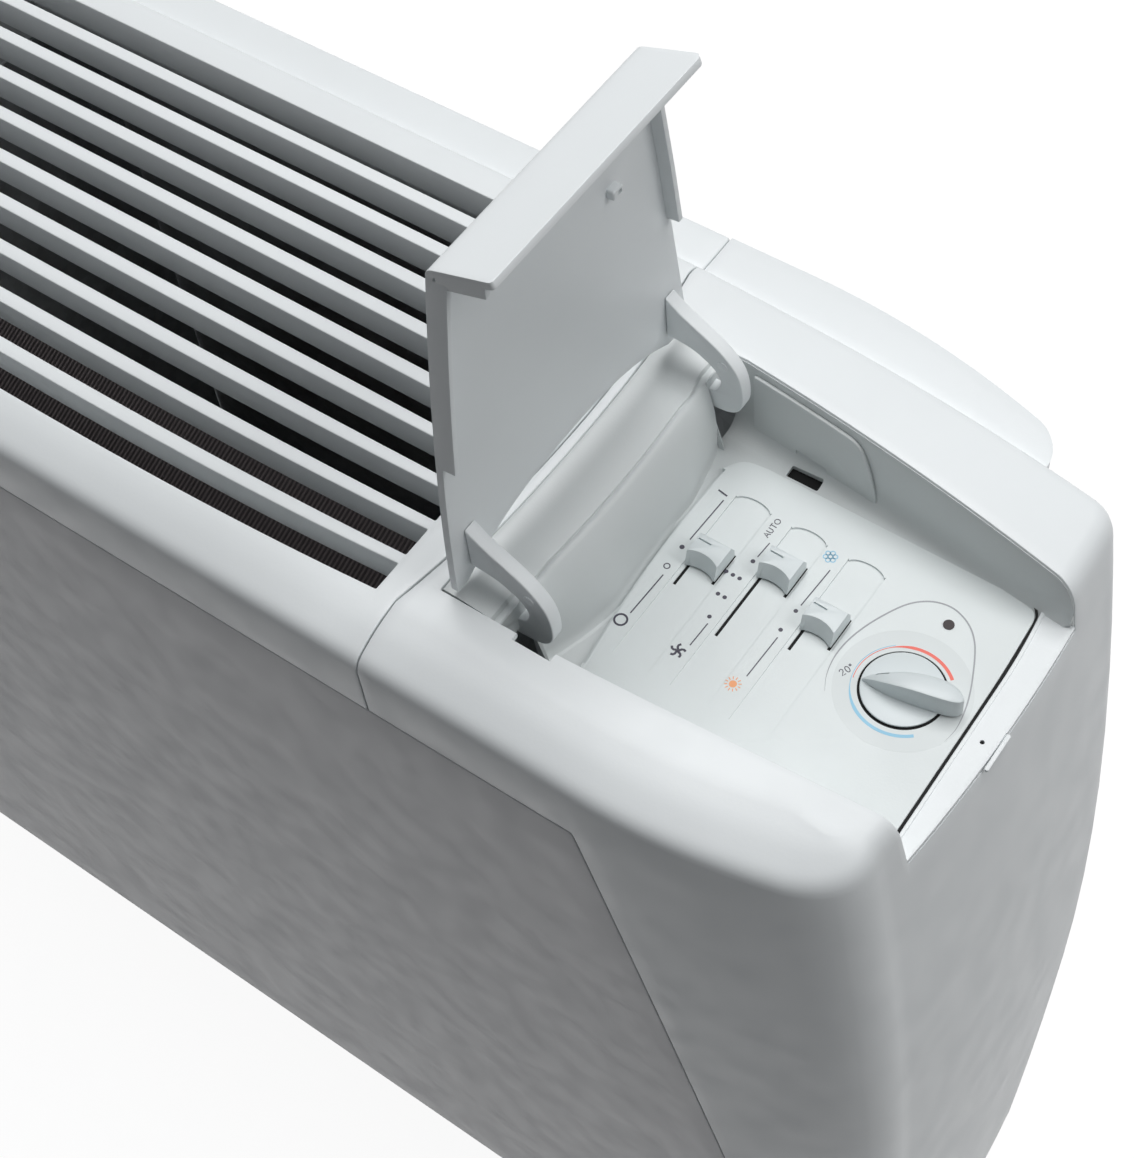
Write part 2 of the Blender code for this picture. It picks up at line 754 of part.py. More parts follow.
def opening_tool():
    """The hole under the flap, with a notch for each arm at its hinge end."""
    count = 8
    reach = HALF + 0.01
    xs = [OPENING_X + (reach - OPENING_X) * n / count for n in range(count + 1)]
    notch_x = OPENING_X - ARM_SLOT_REACH
    outline = [(x, opening_front(x)) for x in xs]
    outline += [(x, opening_rear(x)) for x in reversed(xs)]
    seam = [(hump_x(y) - CLEARANCE, y) for y in hump_rows()]
    outline += [(notch_x, OPENING_REAR_Y), (notch_x, seam[-1][1])] + seam[::-1]
    outline += [(notch_x, seam[0][1]), (notch_x, OPENING_FRONT_Y)]
    return prism("opening_tool", outline, SHELF_SKIN_Z, TOP_Z + 0.03, dark_plastic())


def right_end_cap():
    cap = end_cap("right_end_cap", 1)
    cut(cap, opening_tool())
    return cap


def top_grille():
    """The outlet moulding: a rounded front band, ten bowed slots and the rear band."""
    front = [(FRONT_Y, 0.0)] + [(FRONT_Y + inset, -drop) for inset, drop in FRONT_EDGE[:-1]]
    slots = []
    for n in range(SLOT_COUNT):
        slots.append(SLOT_FIRST_Y + n * SLOT_PITCH)
        slots.append(SLOT_FIRST_Y + n * SLOT_PITCH + SLOT_WIDTH)
    rear = [(REAR_SKIN_Y - inset, -drop) for inset, drop in reversed(REAR_EDGE[:4])]
    span = SEAM_X - SEAM_GAP / 2
    rows = len(front) + len(slots) + len(rear) + 1
    first_slot = len(front)
    last_slot = first_slot + len(slots) - 1

    def outer_point(row, share):
        if row == 0:
            return FRONT_Y, MOULDING_Z
        if row < first_slot:
            y = front[row][0]
            return y, shell_top(0.0, y) + front[row][1]
        if row <= last_slot:
            number = (row - first_slot) // 2
            bend = SLOT_BOW * max(0.0, 1.0 - number / 4.0) * abs(share) ** 2.5
            y = slots[row - first_slot] + bend
            return y, shell_top(0.0, y)
        if row < rows - 1:
            y, drop = rear[row - last_slot - 1]
            return y, shell_top(0.0, y) + drop
        return REAR_SKIN_Y, LEDGE_Z - BAND_FOOT_DROP

    def corner(i, j, k):
        share = SLAT_STATIONS[i]
        y, z = outer_point(j, share)
        x = share * (span + (seam_bulge(y) if abs(share) == 1.0 else 0.0))
        if abs(share) < 1.0:
            x = share * span
        if k == 0:
            return x, y, z
        if j < first_slot - 1:
            inner = min(y + SHELL_WALL, FRONT_Y + SHELL_WALL * 4)
            return x, inner, z - SHELL_WALL if j else z
        if j > last_slot:
            return x, min(y, REAR_SKIN_Y - SHELL_WALL), z - SHELL_WALL if j < rows - 1 else z
        return x, y, z - SLAT_DEPTH

    def solid(i, j, k):
        between = first_slot <= j < last_slot and (j - first_slot) % 2 == 0
        open_length = 0 < i < len(SLAT_STATIONS) - 2
        return not (between and open_length)

    counts = (len(SLAT_STATIONS) - 1, rows - 1, 1)
    return cells("top_grille", counts, corner, solid, shell_plastic(), smooth=True)


def front_panel():
    """The sheet front between the two moulded ends."""
    columns = 16
    levels = 12
    low_z = FOOT_HEIGHT
    high_z = MOULDING_Z - SEAM_GAP

    def corner(i, j, k):
        z = low_z + (high_z - low_z) * j / levels
        reach = wedge_x(z) - SEAM_GAP / 2
        share = 2.0 * i / columns - 1.0
        share = math.copysign(abs(share) ** 0.75, share)
        x = reach * share
        y = front_y(z) + bow(end_x(z) - abs(x))
        return x, y + (SHEET if k else 0.0), z

    counts = (columns, levels, 1)
    return cells("front_panel", counts, corner, lambda i, j, k: True, painted_sheet(), smooth=True)


def rear_rail(name, low_x, high_x, round_end):
    """A stretch of the ledge behind the shell, which meets the wall."""
    side = 1.0 if high_x > 0 else -1.0
    count = 10
    xs = [low_x + (high_x - low_x) * n / count for n in range(count + 1)]
    if round_end:
        reach = LEDGE_CORNER
        tip = high_x if side > 0 else low_x
        xs = [low_x + (high_x - low_x) * n / 6 for n in range(7)]
        extra = [tip - side * reach * (1.0 - math.sin(math.pi / 2 * n / 4)) for n in range(4)]
        xs = sorted({round(x, 6) for x in xs + extra})
    floor_z = LEDGE_Z - LEDGE_HEIGHT

    def inner_y(x):
        end = end_x(LEDGE_Z) - REAR_CORNER
        share = min(1.0, max(0.0, (abs(x) - SEAM_X) / (end - SEAM_X)))
        return REAR_SKIN_Y + (REAR_SKIN_END_Y - REAR_SKIN_Y) * share + CLEARANCE

    def outer_y(x):
        if not round_end:
            return WALL_Y
        tip = abs(high_x if side > 0 else low_x)
        away = tip - abs(x)
        bent = LEDGE_BEND * max(0.0, 1.0 - away / LEDGE_BEND_REACH) ** 2
        corner_in = LEDGE_CORNER - math.sqrt(max(0.0, LEDGE_CORNER ** 2 - max(0.0, LEDGE_CORNER - away) ** 2))
        return WALL_Y - bent - corner_in

    def corner(i, j, k):
        x = xs[i]
        y = outer_y(x) if j else inner_y(x)
        z = LEDGE_Z - LEDGE_FALL * (TOP_Z - shell_top(x, CREST_Y))
        return x, y, z if k else floor_z

    return cells(name, (len(xs) - 1, 1, 1), corner, lambda i, j, k: True, shell_plastic())


def control_tub():
    """The moulded tray in the head: floor, side walls, hinge hump with its webs, and the end shelf."""
    crease = OPENING_X - REBATE_WIDTH
    xs = [OPENING_X - HUMP_REACH, crease - SHELL_WALL, crease, OPENING_X]
    xs += [OPENING_X + step for step in TUB_STEPS]
    xs += [SHELF_X - SHELF_WIDTH, SHELF_X - SHELL_WALL, SHELF_X]
    floor_z = PANEL_Z - FASCIA_THICKNESS - CLEARANCE
    zs = [floor_z - SHELL_WALL, floor_z, SHELF_Z - SHELF_THICKNESS, SHELF_Z]
    last = len(xs) - 2
    top = len(zs)

    def across(x):
        front = opening_front(x) + CLEARANCE
        rear = opening_rear(x) - CLEARANCE
        low = front + ARM_SLOT_WIDTH
        high = rear - ARM_SLOT_WIDTH
        inner = [low + (high - low) * n / HUMP_PARTS for n in range(1, HUMP_PARTS)]
        middle = [low, low + WEB, *inner, high - WEB, high]
        return [front - SHELL_WALL, front, *middle, rear, rear + SHELL_WALL]

    count = HUMP_PARTS + 6
    webs = (2, count - 3)
    walls = (0, count - 1)
    hump = range(2, count - 2)

    def corner(i, j, k):
        x = xs[i]
        y = across(x)[j]
        on_hump = 2 <= j <= count - 2
        if i == 0 and on_hump:
            x = hump_x(y)
        surface = shell_top(x, y)
        z = zs[k] if k < top else surface - SHELL_WALL - SEAM_GAP
        if i > last - 1:
            x = end_x(SHELF_Z) - crown(y) - (SEAM_GAP if i > last else SHELL_WALL + 2 * CLEARANCE)
            y = across(x)[j]
        elif i == last - 1 and k == top:
            z -= WALL_END_DROP
        if i in (1, 2, 3) and on_hump and k == top:
            z = surface - HUMP_FALL - HUMP_STEP - SHELL_WALL
        if k > top:
            z = surface - (0.0, HUMP_FALL, HUMP_FALL, HUMP_FALL + HUMP_STEP)[i]
        return x, y, z

    def solid(i, j, k):
        wall = j in walls
        if k == top:
            return i < 3 and j in hump
        if i == last:
            return k == 2 and not wall
        if i == last - 1:
            return k < 3
        if wall:
            return True
        if i < 2:
            return k == 0 or j in webs
        if i == 2:
            return k == 0 or j in hump
        window = 4 <= i < last - 1 and j in range(3, count - 3)
        return k == 0 and not window

    return cells("control_tub", (len(xs) - 1, count - 1, top + 1), corner, solid, shell_plastic())


def slider_span(number):
    """Front and rear reach of a slider's two slots."""
    rear = DIAL_Y + SLIDER_Y[number]
    front = rear - SLIDER_STEPS[number] * SLIDER_STEP
    half = SLIDER_LEG_DEPTH / 2 + SLOT_CLEARANCE
    return front - half, rear + half


def leg_x():
    """Distance of a slider's legs from its middle, inner and outer."""
    outer = SLIDER_WIDTH / 2 - SLIDER_LEG_INSET
    return outer - SLIDER_LEG, outer


def control_fascia():
    """The plate with the slider slots, the dial's hole and the lamp's hole."""
    low_x = OPENING_X + FASCIA_START
    high_x = SHELF_X - SHELF_WIDTH - FASCIA_GROOVE
    inset = FASCIA_INSET
    count = 8
    xs = [low_x + (high_x - low_x) * n / count for n in range(count + 1)]
    corner_cut = FASCIA_CORNER
    outline = [(x, opening_front(x) + CLEARANCE + inset) for x in xs]
    rear_y = DIAL_Y + FASCIA_REAR
    outline += [(high_x, opening_rear(high_x) - CLEARANCE - inset), (low_x + corner_cut, rear_y)]
    outline += [(low_x, rear_y - corner_cut)]
    plate = prism("control_fascia", outline, PANEL_Z - FASCIA_THICKNESS, PANEL_Z, panel_plastic())
    low_z = PANEL_Z - FASCIA_THICKNESS - 0.005
    high_z = PANEL_Z + 0.005
    inner, outer = leg_x()
    for number, x in enumerate(SLIDER_X):
        front, back = slider_span(number)
        for side in (-1, 1):
            near = x + side * inner
            far = x + side * outer
            low = (min(near, far) - SLOT_CLEARANCE, front, low_z)
            high = (max(near, far) + SLOT_CLEARANCE, back, high_z)
            cut(plate, block(f"slot_tool_{number}_{side + 1}", low, high, dark_plastic()))
    hole = SPINDLE_RADIUS + CLEARANCE
    cut(plate, disc("dial_hole_tool", (DIAL_X, DIAL_Y), hole, low_z, high_z, dark_plastic()))
    spot = (DIAL_X, DIAL_Y + LENS_Y)
    cut(plate, disc("lens_hole_tool", spot, LENS_RADIUS + CLEARANCE, low_z, high_z, dark_plastic()))
    return plate


def slider(name, number):
    """A slider block that straddles its switch with two legs through the fascia."""
    x = SLIDER_X[number]
    y = DIAL_Y + SLIDER_Y[number]
    frame = empty(f"{name}_slide", (x, y, PANEL_Z))
    inner, outer = leg_x()
    half = SLIDER_WIDTH / 2
    xs = (-half, -outer, -inner, inner, outer, half)
    deep = SLIDER_DEPTH / 2
    leg = SLIDER_LEG_DEPTH / 2
    ys = (-deep, -leg, leg, deep)
    zs = (-SLIDER_LEG_DROP, CLEARANCE, SLIDER_HEIGHT)

    def corner(i, j, k):
        z = zs[k]
        if k == 2 and j == 3:
            z = SLIDER_HEIGHT * SLIDER_REAR_SHARE
        if k == 2 and j == 0:
            z = SLIDER_HEIGHT * SLIDER_FRONT_SHARE
        return xs[i], ys[j], z

    def solid(i, j, k):
        return k == 1 or (i in (1, 3) and j == 1)

    return cells(name, (5, 3, 2), corner, solid, knob_plastic(), parent=frame)


def dial():
    """The thermostat's knob: a disc, a tapered grip across it and the spindle below."""
    frame = empty("dial_turn", (DIAL_X, DIAL_Y, PANEL_Z))
    low = CLEARANCE
    knob = disc("thermostat_knob", (0.0, 0.0), DIAL_RADIUS, low, DIAL_HEIGHT, knob_plastic(), "Z", 32, frame)
    tip = GRIP_TIP_WIDTH / 2
    tail = GRIP_TAIL_WIDTH / 2
    near = [(-GRIP_TIP, tip)]
    near += [(GRIP_TAIL * along, tail * wide) for along, wide in GRIP_SHAPE]
    outline = [(x, -y) for x, y in near] + near[::-1]
    c = math.cos(GRIP_TURN)
    s = math.sin(GRIP_TURN)
    turned = [(x * c - y * s, x * s + y * c) for x, y in outline]
    grip = prism("grip_tool", turned, DIAL_HEIGHT - 0.001, GRIP_HEIGHT, knob_plastic(), parent=frame)
    join(knob, grip)
    foot = -SPINDLE_DROP
    top = low + 0.001
    spindle = disc("spindle_tool", (0.0, 0.0), SPINDLE_RADIUS, foot, top, knob_plastic(), "Z", 24, frame)
    join(knob, spindle)
    return knob


def circuit_parts():
    """The board under the fascia with its switches, the thermostat and the lamp."""
    low_z = PANEL_Z - BOARD_DROP
    high_z = low_z + BOARD_THICKNESS
    low_x = SLIDER_X[0] - BOARD_OVERHANG
    high_x = DIAL_X + DIAL_RADIUS
    front = opening_front(DIAL_X) + BOARD_FRONT_GAP
    rear = opening_rear(DIAL_X) - BOARD_REAR_GAP
    block("circuit_board", (low_x, front, low_z), (high_x, rear, high_z), board_green())
    under = PANEL_Z - FASCIA_THICKNESS - CLEARANCE
    seat = high_z + CLEARANCE
    inner, _ = leg_x()
    for number, x in enumerate(SLIDER_X):
        start, stop = slider_span(number)
        low = (x - inner + SWITCH_GAP, start - SWITCH_OVERHANG, seat)
        high = (x + inner - SWITCH_GAP, stop + SWITCH_OVERHANG, under)
        block(f"slide_switch_{number + 1}", low, high, dark_plastic())
    bore = SPINDLE_RADIUS + CLEARANCE
    sleeve("thermostat_body", (DIAL_X, DIAL_Y), bore, THERMOSTAT_RADIUS, seat, under, dark_plastic())
    spot = (DIAL_X, DIAL_Y + LENS_Y)
    disc("indicator_lens", spot, LENS_RADIUS, seat, PANEL_Z + LENS_STAND, lens_red(), count=16)


def flap_frame():
    """The flap hangs on the pivot and is drawn closed; the frame turns it open."""
    return empty("flap_turn", PIVOT, (0.0, -OPEN_ANGLE, 0.0))


def flap_profile(depth):
    """The flap's section at a depth under its outer face: hinge edge, far corner and lip end."""
    along = Vector((math.cos(FLAP_SLOPE), -math.sin(FLAP_SLOPE)))
    down = Vector((-math.sin(FLAP_SLOPE), -math.cos(FLAP_SLOPE)))
    hang = Vector((math.sin(LIP_FLARE), -math.cos(LIP_FLARE)))
    back = Vector((-math.cos(LIP_FLARE), -math.sin(LIP_FLARE)))
    edge = Vector(FLAP_EDGE)
    far = edge + along * FLAP_LENGTH
    miter = (down + back) / (1.0 + down.dot(back))
    return edge + down * depth, far + miter * depth, far + hang * LIP_LENGTH + back * depth, along


def flap(frame):
    """The tapered cover with its lip and a rib along each side of its far half."""
    marks = (0.0, 0.10, 0.25, 0.50, 0.62, 0.76, 0.88, 0.955)
    depths = (0.0, FLAP_THICKNESS, FLAP_THICKNESS + RIB_DEPTH)
    rib_from = 3
    rib_to = len(marks) - 1

    def corner(i, j, k):
        edge, far, lip, _ = flap_profile(depths[k])
        if i < len(marks):
            spot = edge.lerp(far, marks[i])
        else:
            spot = far if i == len(marks) else lip
        outer_edge, outer_far, outer_lip, _ = flap_profile(0.0)
        share = marks[i] if i < len(marks) else 1.0
        x = PIVOT.x + outer_edge.lerp(outer_far, share).x
        front = opening_front(x) + FLAP_SIDE_GAP
        rear = opening_rear(x) - FLAP_SIDE_GAP
        y = (front, front + RIB_WIDTH, rear - RIB_WIDTH, rear)[j]
        return spot.x, y, spot.y

    def solid(i, j, k):
        return k == 0 or (j in (0, 2) and rib_from <= i < rib_to)

    return cells("flap", (len(marks) + 1, 3, 2), corner, solid, shell_plastic(), parent=frame)


def arm_outline():
    """A gooseneck arm seen from the side, drawn with the flap closed, round the pivot."""
    left = []
    right = []
    for n, (x, z) in enumerate(ARM_SPINE):
        before = Vector(ARM_SPINE[max(n - 1, 0)])
        after = Vector(ARM_SPINE[min(n + 1, len(ARM_SPINE) - 1)])
        along = (after - before).normalized()
        across = Vector((-along.y, along.x)) * ARM_HALF_HEIGHT
        left.append((x + across.x, z + across.y))
        right.append((x - across.x, z - across.y))
    edge, _, _, along = flap_profile(FLAP_THICKNESS + CLEARANCE)
    pad_start = edge + along * ARM_PAD_START
    pad_end = edge + along * ARM_PAD_END
    eye = []
    for n in range(9):
        angle = ARM_EYE_START + ARM_EYE_SWEEP * n / 8
        eye.append((ARM_EYE_RADIUS * math.cos(angle), ARM_EYE_RADIUS * math.sin(angle)))
    return [tuple(pad_start)] + right + eye_order(eye, right[-1]) + left[::-1] + [tuple(pad_end)]


def eye_order(eye, start):
    """The eye's points, walked from the one nearest to where the arm's edge arrives."""
    near_first = (Vector(eye[0]) - Vector(start)).length < (Vector(eye[-1]) - Vector(start)).length
    return eye if near_first else eye[::-1]


def hinge_parts(frame):
    """Two arms on the flap, and the pins they turn on in the tub."""
    middle = (CLEARANCE + ARM_SLOT_WIDTH / 2)
    places = {"front": OPENING_FRONT_Y + middle, "rear": OPENING_REAR_Y - middle}
    bore = PIN_RADIUS + CLEARANCE
    for where, y in places.items():
        low = y - ARM_WIDTH / 2
        high = y + ARM_WIDTH / 2
        arm = prism(f"hinge_arm_{where}", arm_outline(), low, high, shell_plastic(), "Y", frame)
        tool = f"{where}_eye_tool"
        cut(arm, disc(tool, (0.0, 0.0), bore, low - 0.003, high + 0.003, dark_plastic(), "Y", 16, frame))
        half = ARM_SLOT_WIDTH / 2 - CLEARANCE
        disc(f"hinge_pin_{where}", (PIVOT.x, PIVOT.z), PIN_RADIUS, y - half, y + half, galvanised(), "Y", 16)


def chassis():
    """Rear plate, two side plates, the fan deck and the feet."""
    back_low = WALL_Y - SHEET
    rail_z = LEDGE_Z - LEDGE_HEIGHT
    half = HALF - BACK_PLATE_INSET
    block("back_plate", (-half, back_low, FOOT_HEIGHT), (half, WALL_Y, rail_z - CLEARANCE), galvanised())
    for side, name in ((1, "right"), (-1, "left")):
        low_x, high_x = sorted((side * SIDE_PLATE_X, side * (SIDE_PLATE_X - SHEET)))
        top_z = rail_z - CLEARANCE
        levels = [FOOT_HEIGHT + (top_z - FOOT_HEIGHT) * n / 6 for n in range(7)]
        front = [(front_y(z) + SHEET + 3 * CLEARANCE, z) for z in levels]
        rear = [(back_low - CLEARANCE, top_z), (back_low - CLEARANCE, FOOT_HEIGHT)]
        prism(f"side_plate_{name}", front + rear, low_x, high_x, galvanised(), "X")
    foot_parts()
    fan_deck()


def foot_parts():
    """Two closed feet under the side plates."""
    for side, name in ((1, "right"), (-1, "left")):
        low_x, high_x = sorted((side * FOOT_INNER_X, side * (FOOT_INNER_X + FOOT_WIDTH)))
        top_z = FOOT_HEIGHT - CLEARANCE
        low = (low_x, FOOT_FRONT_Y, 0.0)
        high = (high_x, WALL_Y - FOOT_WALL_GAP, top_z)
        block(f"foot_{name}", low, high, foot_plastic(), bevel=FOOT_ROUNDING)


def wheel_places():
    """The two blower wheels and how far each stands from the middle."""
    return (("right", WHEEL_OFFSET), ("left", -WHEEL_OFFSET))


def fan_deck():
    """The plate that the two scrolls blow through."""
    reach = SIDE_PLATE_X - SHEET - CLEARANCE
    half = WHEEL_WIDTH / 2 + OUTLET_MARGIN
    xs = [-reach, -WHEEL_OFFSET - half, -WHEEL_OFFSET + half, WHEEL_OFFSET - half, WHEEL_OFFSET + half, reach]
    outlet = (FAN_Y - OUTLET_HALF_DEPTH, FAN_Y + OUTLET_HALF_DEPTH)
    ys = [FRONT_Y + DECK_FRONT_GAP, *outlet, WALL_Y - SHEET - CLEARANCE]
    zs = [DECK_Z, DECK_Z + SHEET]
    lattice("fan_deck", xs, ys, zs, lambda i, j, k: not (j == 1 and i in (1, 3)), galvanised())


def scroll_radius(angle):
    """The scroll's inner radius, growing from the tongue round to the outlet."""
    turned = (angle - SCROLL_TONGUE) % math.tau
    return WHEEL_RADIUS + SCROLL_CLEARANCE + SCROLL_GROWTH * (1.0 - turned / math.tau)


def scroll(name, middle):
    """A fan housing with an inlet on each side, open at the top towards the deck."""
    count = 36
    half = WHEEL_WIDTH / 2 + SCROLL_SIDE_GAP
    plate = SCROLL_PLATE
    xs = (middle - half, middle - half + plate, middle + half - plate, middle + half)
    first = 6
    last = 12
    roof = DECK_Z - CLEARANCE - FAN_Z

    def corner(i, j, k):
        angle = math.tau * j / count
        inlet = WHEEL_INNER_RADIUS + INLET_CLEARANCE
        shell = scroll_radius(angle)
        outlet = first <= j <= last
        if outlet:
            shell = min(roof / math.sin(angle), SCROLL_REACH) - plate
        radius = (inlet, shell, shell + plate)[i]
        y = FAN_Y + radius * math.cos(angle)
        z = FAN_Z + radius * math.sin(angle)
        if outlet and i == 2:
            z = FAN_Z + roof
            y = FAN_Y + roof / math.tan(angle)
        return xs[k], y, z

    def solid(i, j, k):
        side = k in (0, 2)
        if i == 0:
            return side
        outlet = first <= j < last
        return side if outlet else True

    return cells(name, (2, count, 3), corner, solid, galvanised(), ring=True)


def blower_wheel(name, middle, frame):
    """A double-inlet wheel: hub, centre disc, curved blades and three rings."""
    count = 2 * WHEEL_BLADES
    half = WHEEL_WIDTH / 2
    web = WHEEL_DISC / 2
    xs = (-half, -half + WHEEL_RING, -web, web, half - WHEEL_RING, half)
    radii = (SHAFT_RADIUS + CLEARANCE, HUB_RADIUS, WHEEL_INNER_RADIUS, WHEEL_RADIUS)

    def corner(i, j, k):
        lean = BLADE_LEAN if i == 3 else 0.0
        angle = math.tau * j / count + lean
        return middle + xs[k], radii[i] * math.cos(angle), radii[i] * math.sin(angle)

    def solid(i, j, k):
        if i == 0:
            return k in (1, 2, 3)
        if i == 1:
            return k == 2
        return k in (0, 2, 4) or j % 2 == 0

    return cells(name, (3, count, 5), corner, solid, dark_plastic(), ring=True, parent=frame)


def fans():
    """Two scrolls on the deck, and the motor with a wheel on each end of its shaft."""
    frame = empty("rotor_turn", (0.0, FAN_Y, FAN_Z))
    for where, x in wheel_places():
        scroll(f"fan_scroll_{where}", x)
        blower_wheel(f"blower_wheel_{where}", x, frame)
    reach = WHEEL_OFFSET + SHAFT_OVERHANG
    disc("motor_shaft", (0.0, 0.0), SHAFT_RADIUS, -reach, reach, galvanised(), "X", 24, frame)
    half = MOTOR_LENGTH / 2
    bore = SHAFT_RADIUS + CLEARANCE
    sleeve("fan_motor", (FAN_Y, FAN_Z), bore, MOTOR_RADIUS, -half, half, galvanised(), "X", 32)
    motor_cradle()


def motor_cradle():
    """The saddle that hangs the motor from the deck."""
    count = 24
    inner = MOTOR_RADIUS + CLEARANCE
    half = CRADLE_WIDTH / 2
    width = inner + CRADLE_WALL
    roof = DECK_Z - CLEARANCE
    arc = [
        (FAN_Y + inner * math.cos(math.radians(a)), FAN_Z + inner * math.sin(math.radians(a)))
        for a in [360.0 * n / count for n in range(count // 2 + 1)]
    ]
    outline = [(FAN_Y + width, FAN_Z), (FAN_Y + width, roof), (FAN_Y - width, roof), (FAN_Y - width, FAN_Z)]
    prism("motor_cradle", outline + arc[::-1], -half, half, galvanised(), "X")


def tilted(y, z):
    """A point of the coil's own section, leaned about the coil's middle."""
    c = math.cos(COIL_TILT)
    s = math.sin(COIL_TILT)
    return COIL_Y + y * c - z * s, COIL_Z + y * s + z * c


def coil():
    """The finned block, its end plates and the bends and headers at its ends."""
    reach = SIDE_PLATE_X - SHEET - COIL_END_ROOM
    plate = COIL_PLATE
    fin = (2 * reach - 2 * plate - 2 * CLEARANCE) / (2 * FIN_COUNT - 1)
    start = -reach + plate + CLEARANCE
    half_depth = COIL_THICKNESS / 2
    half_height = COIL_HEIGHT / 2
    ys = (-half_depth, -half_depth + FIN_GROOVE, half_depth - FIN_GROOVE, half_depth)

    def corner(i, j, k):
        y, z = tilted(ys[j], half_height * (2 * k - 1))
        return start + fin * i, y, z

    def solid(i, j, k):
        return j == 1 or i % 2 == 0

    cells("coil_fins", (2 * FIN_COUNT - 1, 3, 1), corner, solid, aluminium())
    for side, name in ((1, "right"), (-1, "left")):
        coil_end(f"coil_end_{name}", side, reach, plate)
    coil_bends(reach)
    coil_headers()


def coil_end(name, side, reach, plate):
    """An end plate of the coil with a flange all round that rests against the side plate."""
    xs = (reach - plate, reach, SIDE_PLATE_X - SHEET - CLEARANCE)
    half_depth = COIL_THICKNESS / 2
    half_height = COIL_HEIGHT / 2
    ys = (-half_depth, -half_depth + plate, half_depth - plate, half_depth)
    zs = (-half_height, -half_height + plate, half_height - plate, half_height)

    def corner(i, j, k):
        return (side * xs[i], *tilted(ys[j], zs[k]))

    cells(name, (2, 3, 3), corner, lambda i, j, k: i == 0 or j != 1 or k != 1, galvanised())


def coil_bends(reach):
    """U-shaped bends that join the tubes at the right end of the coil."""
    for number in range(BEND_COUNT):
        y, z = tilted(0.0, (number - (BEND_COUNT - 1) / 2) * BEND_PITCH)
        half_tube(f"return_bend_{number + 1}", (reach + CLEARANCE, y, z), BEND_TUBE_RADIUS, BEND_PITCH / 4)


def half_tube(name, place, radius, spread):
    """Half a ring of round tube, standing off the coil's end plate."""
    sides = 8
    steps = 8
    bend = BEND_REACH / (spread + radius)

    def point(i, j):
        angle = math.pi * i / steps
        turn = math.tau * j / sides
        away = spread + radius * math.cos(turn)
        y = place[1] + radius * math.sin(turn)
        return place[0] + away * math.sin(angle) * bend, y, place[2] - away * math.cos(angle)

    shape = bmesh.new()
    rings = [[shape.verts.new(point(i, j)) for j in range(sides)] for i in range(steps + 1)]
    for a, b in zip(rings, rings[1:]):
        for m in range(sides):
            n = (m + 1) % sides
            shape.faces.new((a[m], a[n], b[n], b[m]))
    shape.faces.new(rings[0])
    shape.faces.new(rings[-1])
    return make_object(name, shape, copper(), smooth=True)


def coil_headers():
    """Flow and return pipes in the left head, with the air vent on the flow pipe."""
    x = -(SIDE_PLATE_X + PIPE_OFFSET)
    top = COIL_Z + PIPE_TOP
    near = x + PIPE_RADIUS + CLEARANCE
    far = -SIDE_PLATE_X - CLEARANCE
    deep = BRACKET_DEPTH / 2
    high = BRACKET_HEIGHT / 2
    for name, y in (("flow_pipe", FLOW_Y), ("return_pipe", RETURN_Y)):
        disc(name, (x, y), PIPE_RADIUS, DECK_Z + PIPE_FOOT, top, copper(), "Z", 20)
        low = (near, y - deep, COIL_Z - high)
        block(f"{name}_bracket", low, (far, y + deep, COIL_Z + high), galvanised())
    seat = top + CLEARANCE
    sleeve("air_vent", (x, FLOW_Y), VENT_BORE, PIPE_RADIUS, seat, seat + VENT_HEIGHT, galvanised(), "Z", 20)
    frame = empty("vent_turn", (x, FLOW_Y, seat))
    low = VENT_SCREW_LOW
    disc("air_vent_screw", (0.0, 0.0), VENT_SCREW_RADIUS, low, VENT_SCREW_HIGH, galvanised(), "Z", 16, frame)


def drip_tray():
    """The trough below the coil that catches its water."""
    reach = SIDE_PLATE_X - SHEET - CLEARANCE
    wall = TRAY_WALL
    low_y = COIL_Y + TRAY_OFFSET
    high_y = low_y + TRAY_DEPTH
    xs = [-reach, -reach + wall, reach - wall, reach]
    ys = [low_y, low_y + wall, high_y, high_y + wall]
    floor_z = DECK_Z + SHEET + CLEARANCE
    zs = [floor_z, floor_z + wall, floor_z + TRAY_HEIGHT]
    lattice("drip_tray", xs, ys, zs, lambda i, j, k: k == 0 or i != 1 or j != 1, dark_plastic())


def electrics():
    """The connection box on the right side plate, with its terminals and cable gland."""
    near = SIDE_PLATE_X + CLEARANCE
    far = near + BOX_REACH
    wall = BOX_WALL
    xs = [near, near + wall, far - wall, far]
    ys = [BOX_FRONT_Y, BOX_FRONT_Y + wall, BOX_REAR_Y - wall, BOX_REAR_Y]
    zs = [BOX_FLOOR_Z, BOX_FLOOR_Z + wall, BOX_FLOOR_Z + BOX_HEIGHT]
    lattice("control_box", xs, ys, zs, lambda i, j, k: k == 0 or i != 1 or j != 1, galvanised())
    base = BOX_FLOOR_Z + wall + CLEARANCE
    starts = [near + TERMINAL_INSET + TERMINAL_PITCH * n for n in range(TERMINAL_COUNT + 1)]
    marks = sorted(starts + [x + TERMINAL_GAP for x in starts[:-1]])
    depth = [TERMINAL_FRONT_Y, TERMINAL_FRONT_Y + TERMINAL_DEPTH]
    levels = [base, base + TERMINAL_BASE, base + TERMINAL_HEIGHT]
    lattice("terminal_block", marks, depth, levels, lambda i, j, k: k == 0 or i % 2 == 0, dark_plastic())
    top = BOX_FLOOR_Z - CLEARANCE
    spot = (near + BOX_REACH / 2, GLAND_Y)
    sleeve("cable_gland", spot, GLAND_BORE, GLAND_RADIUS, top - GLAND_LENGTH, top, dark_plastic(), "Z", 24)


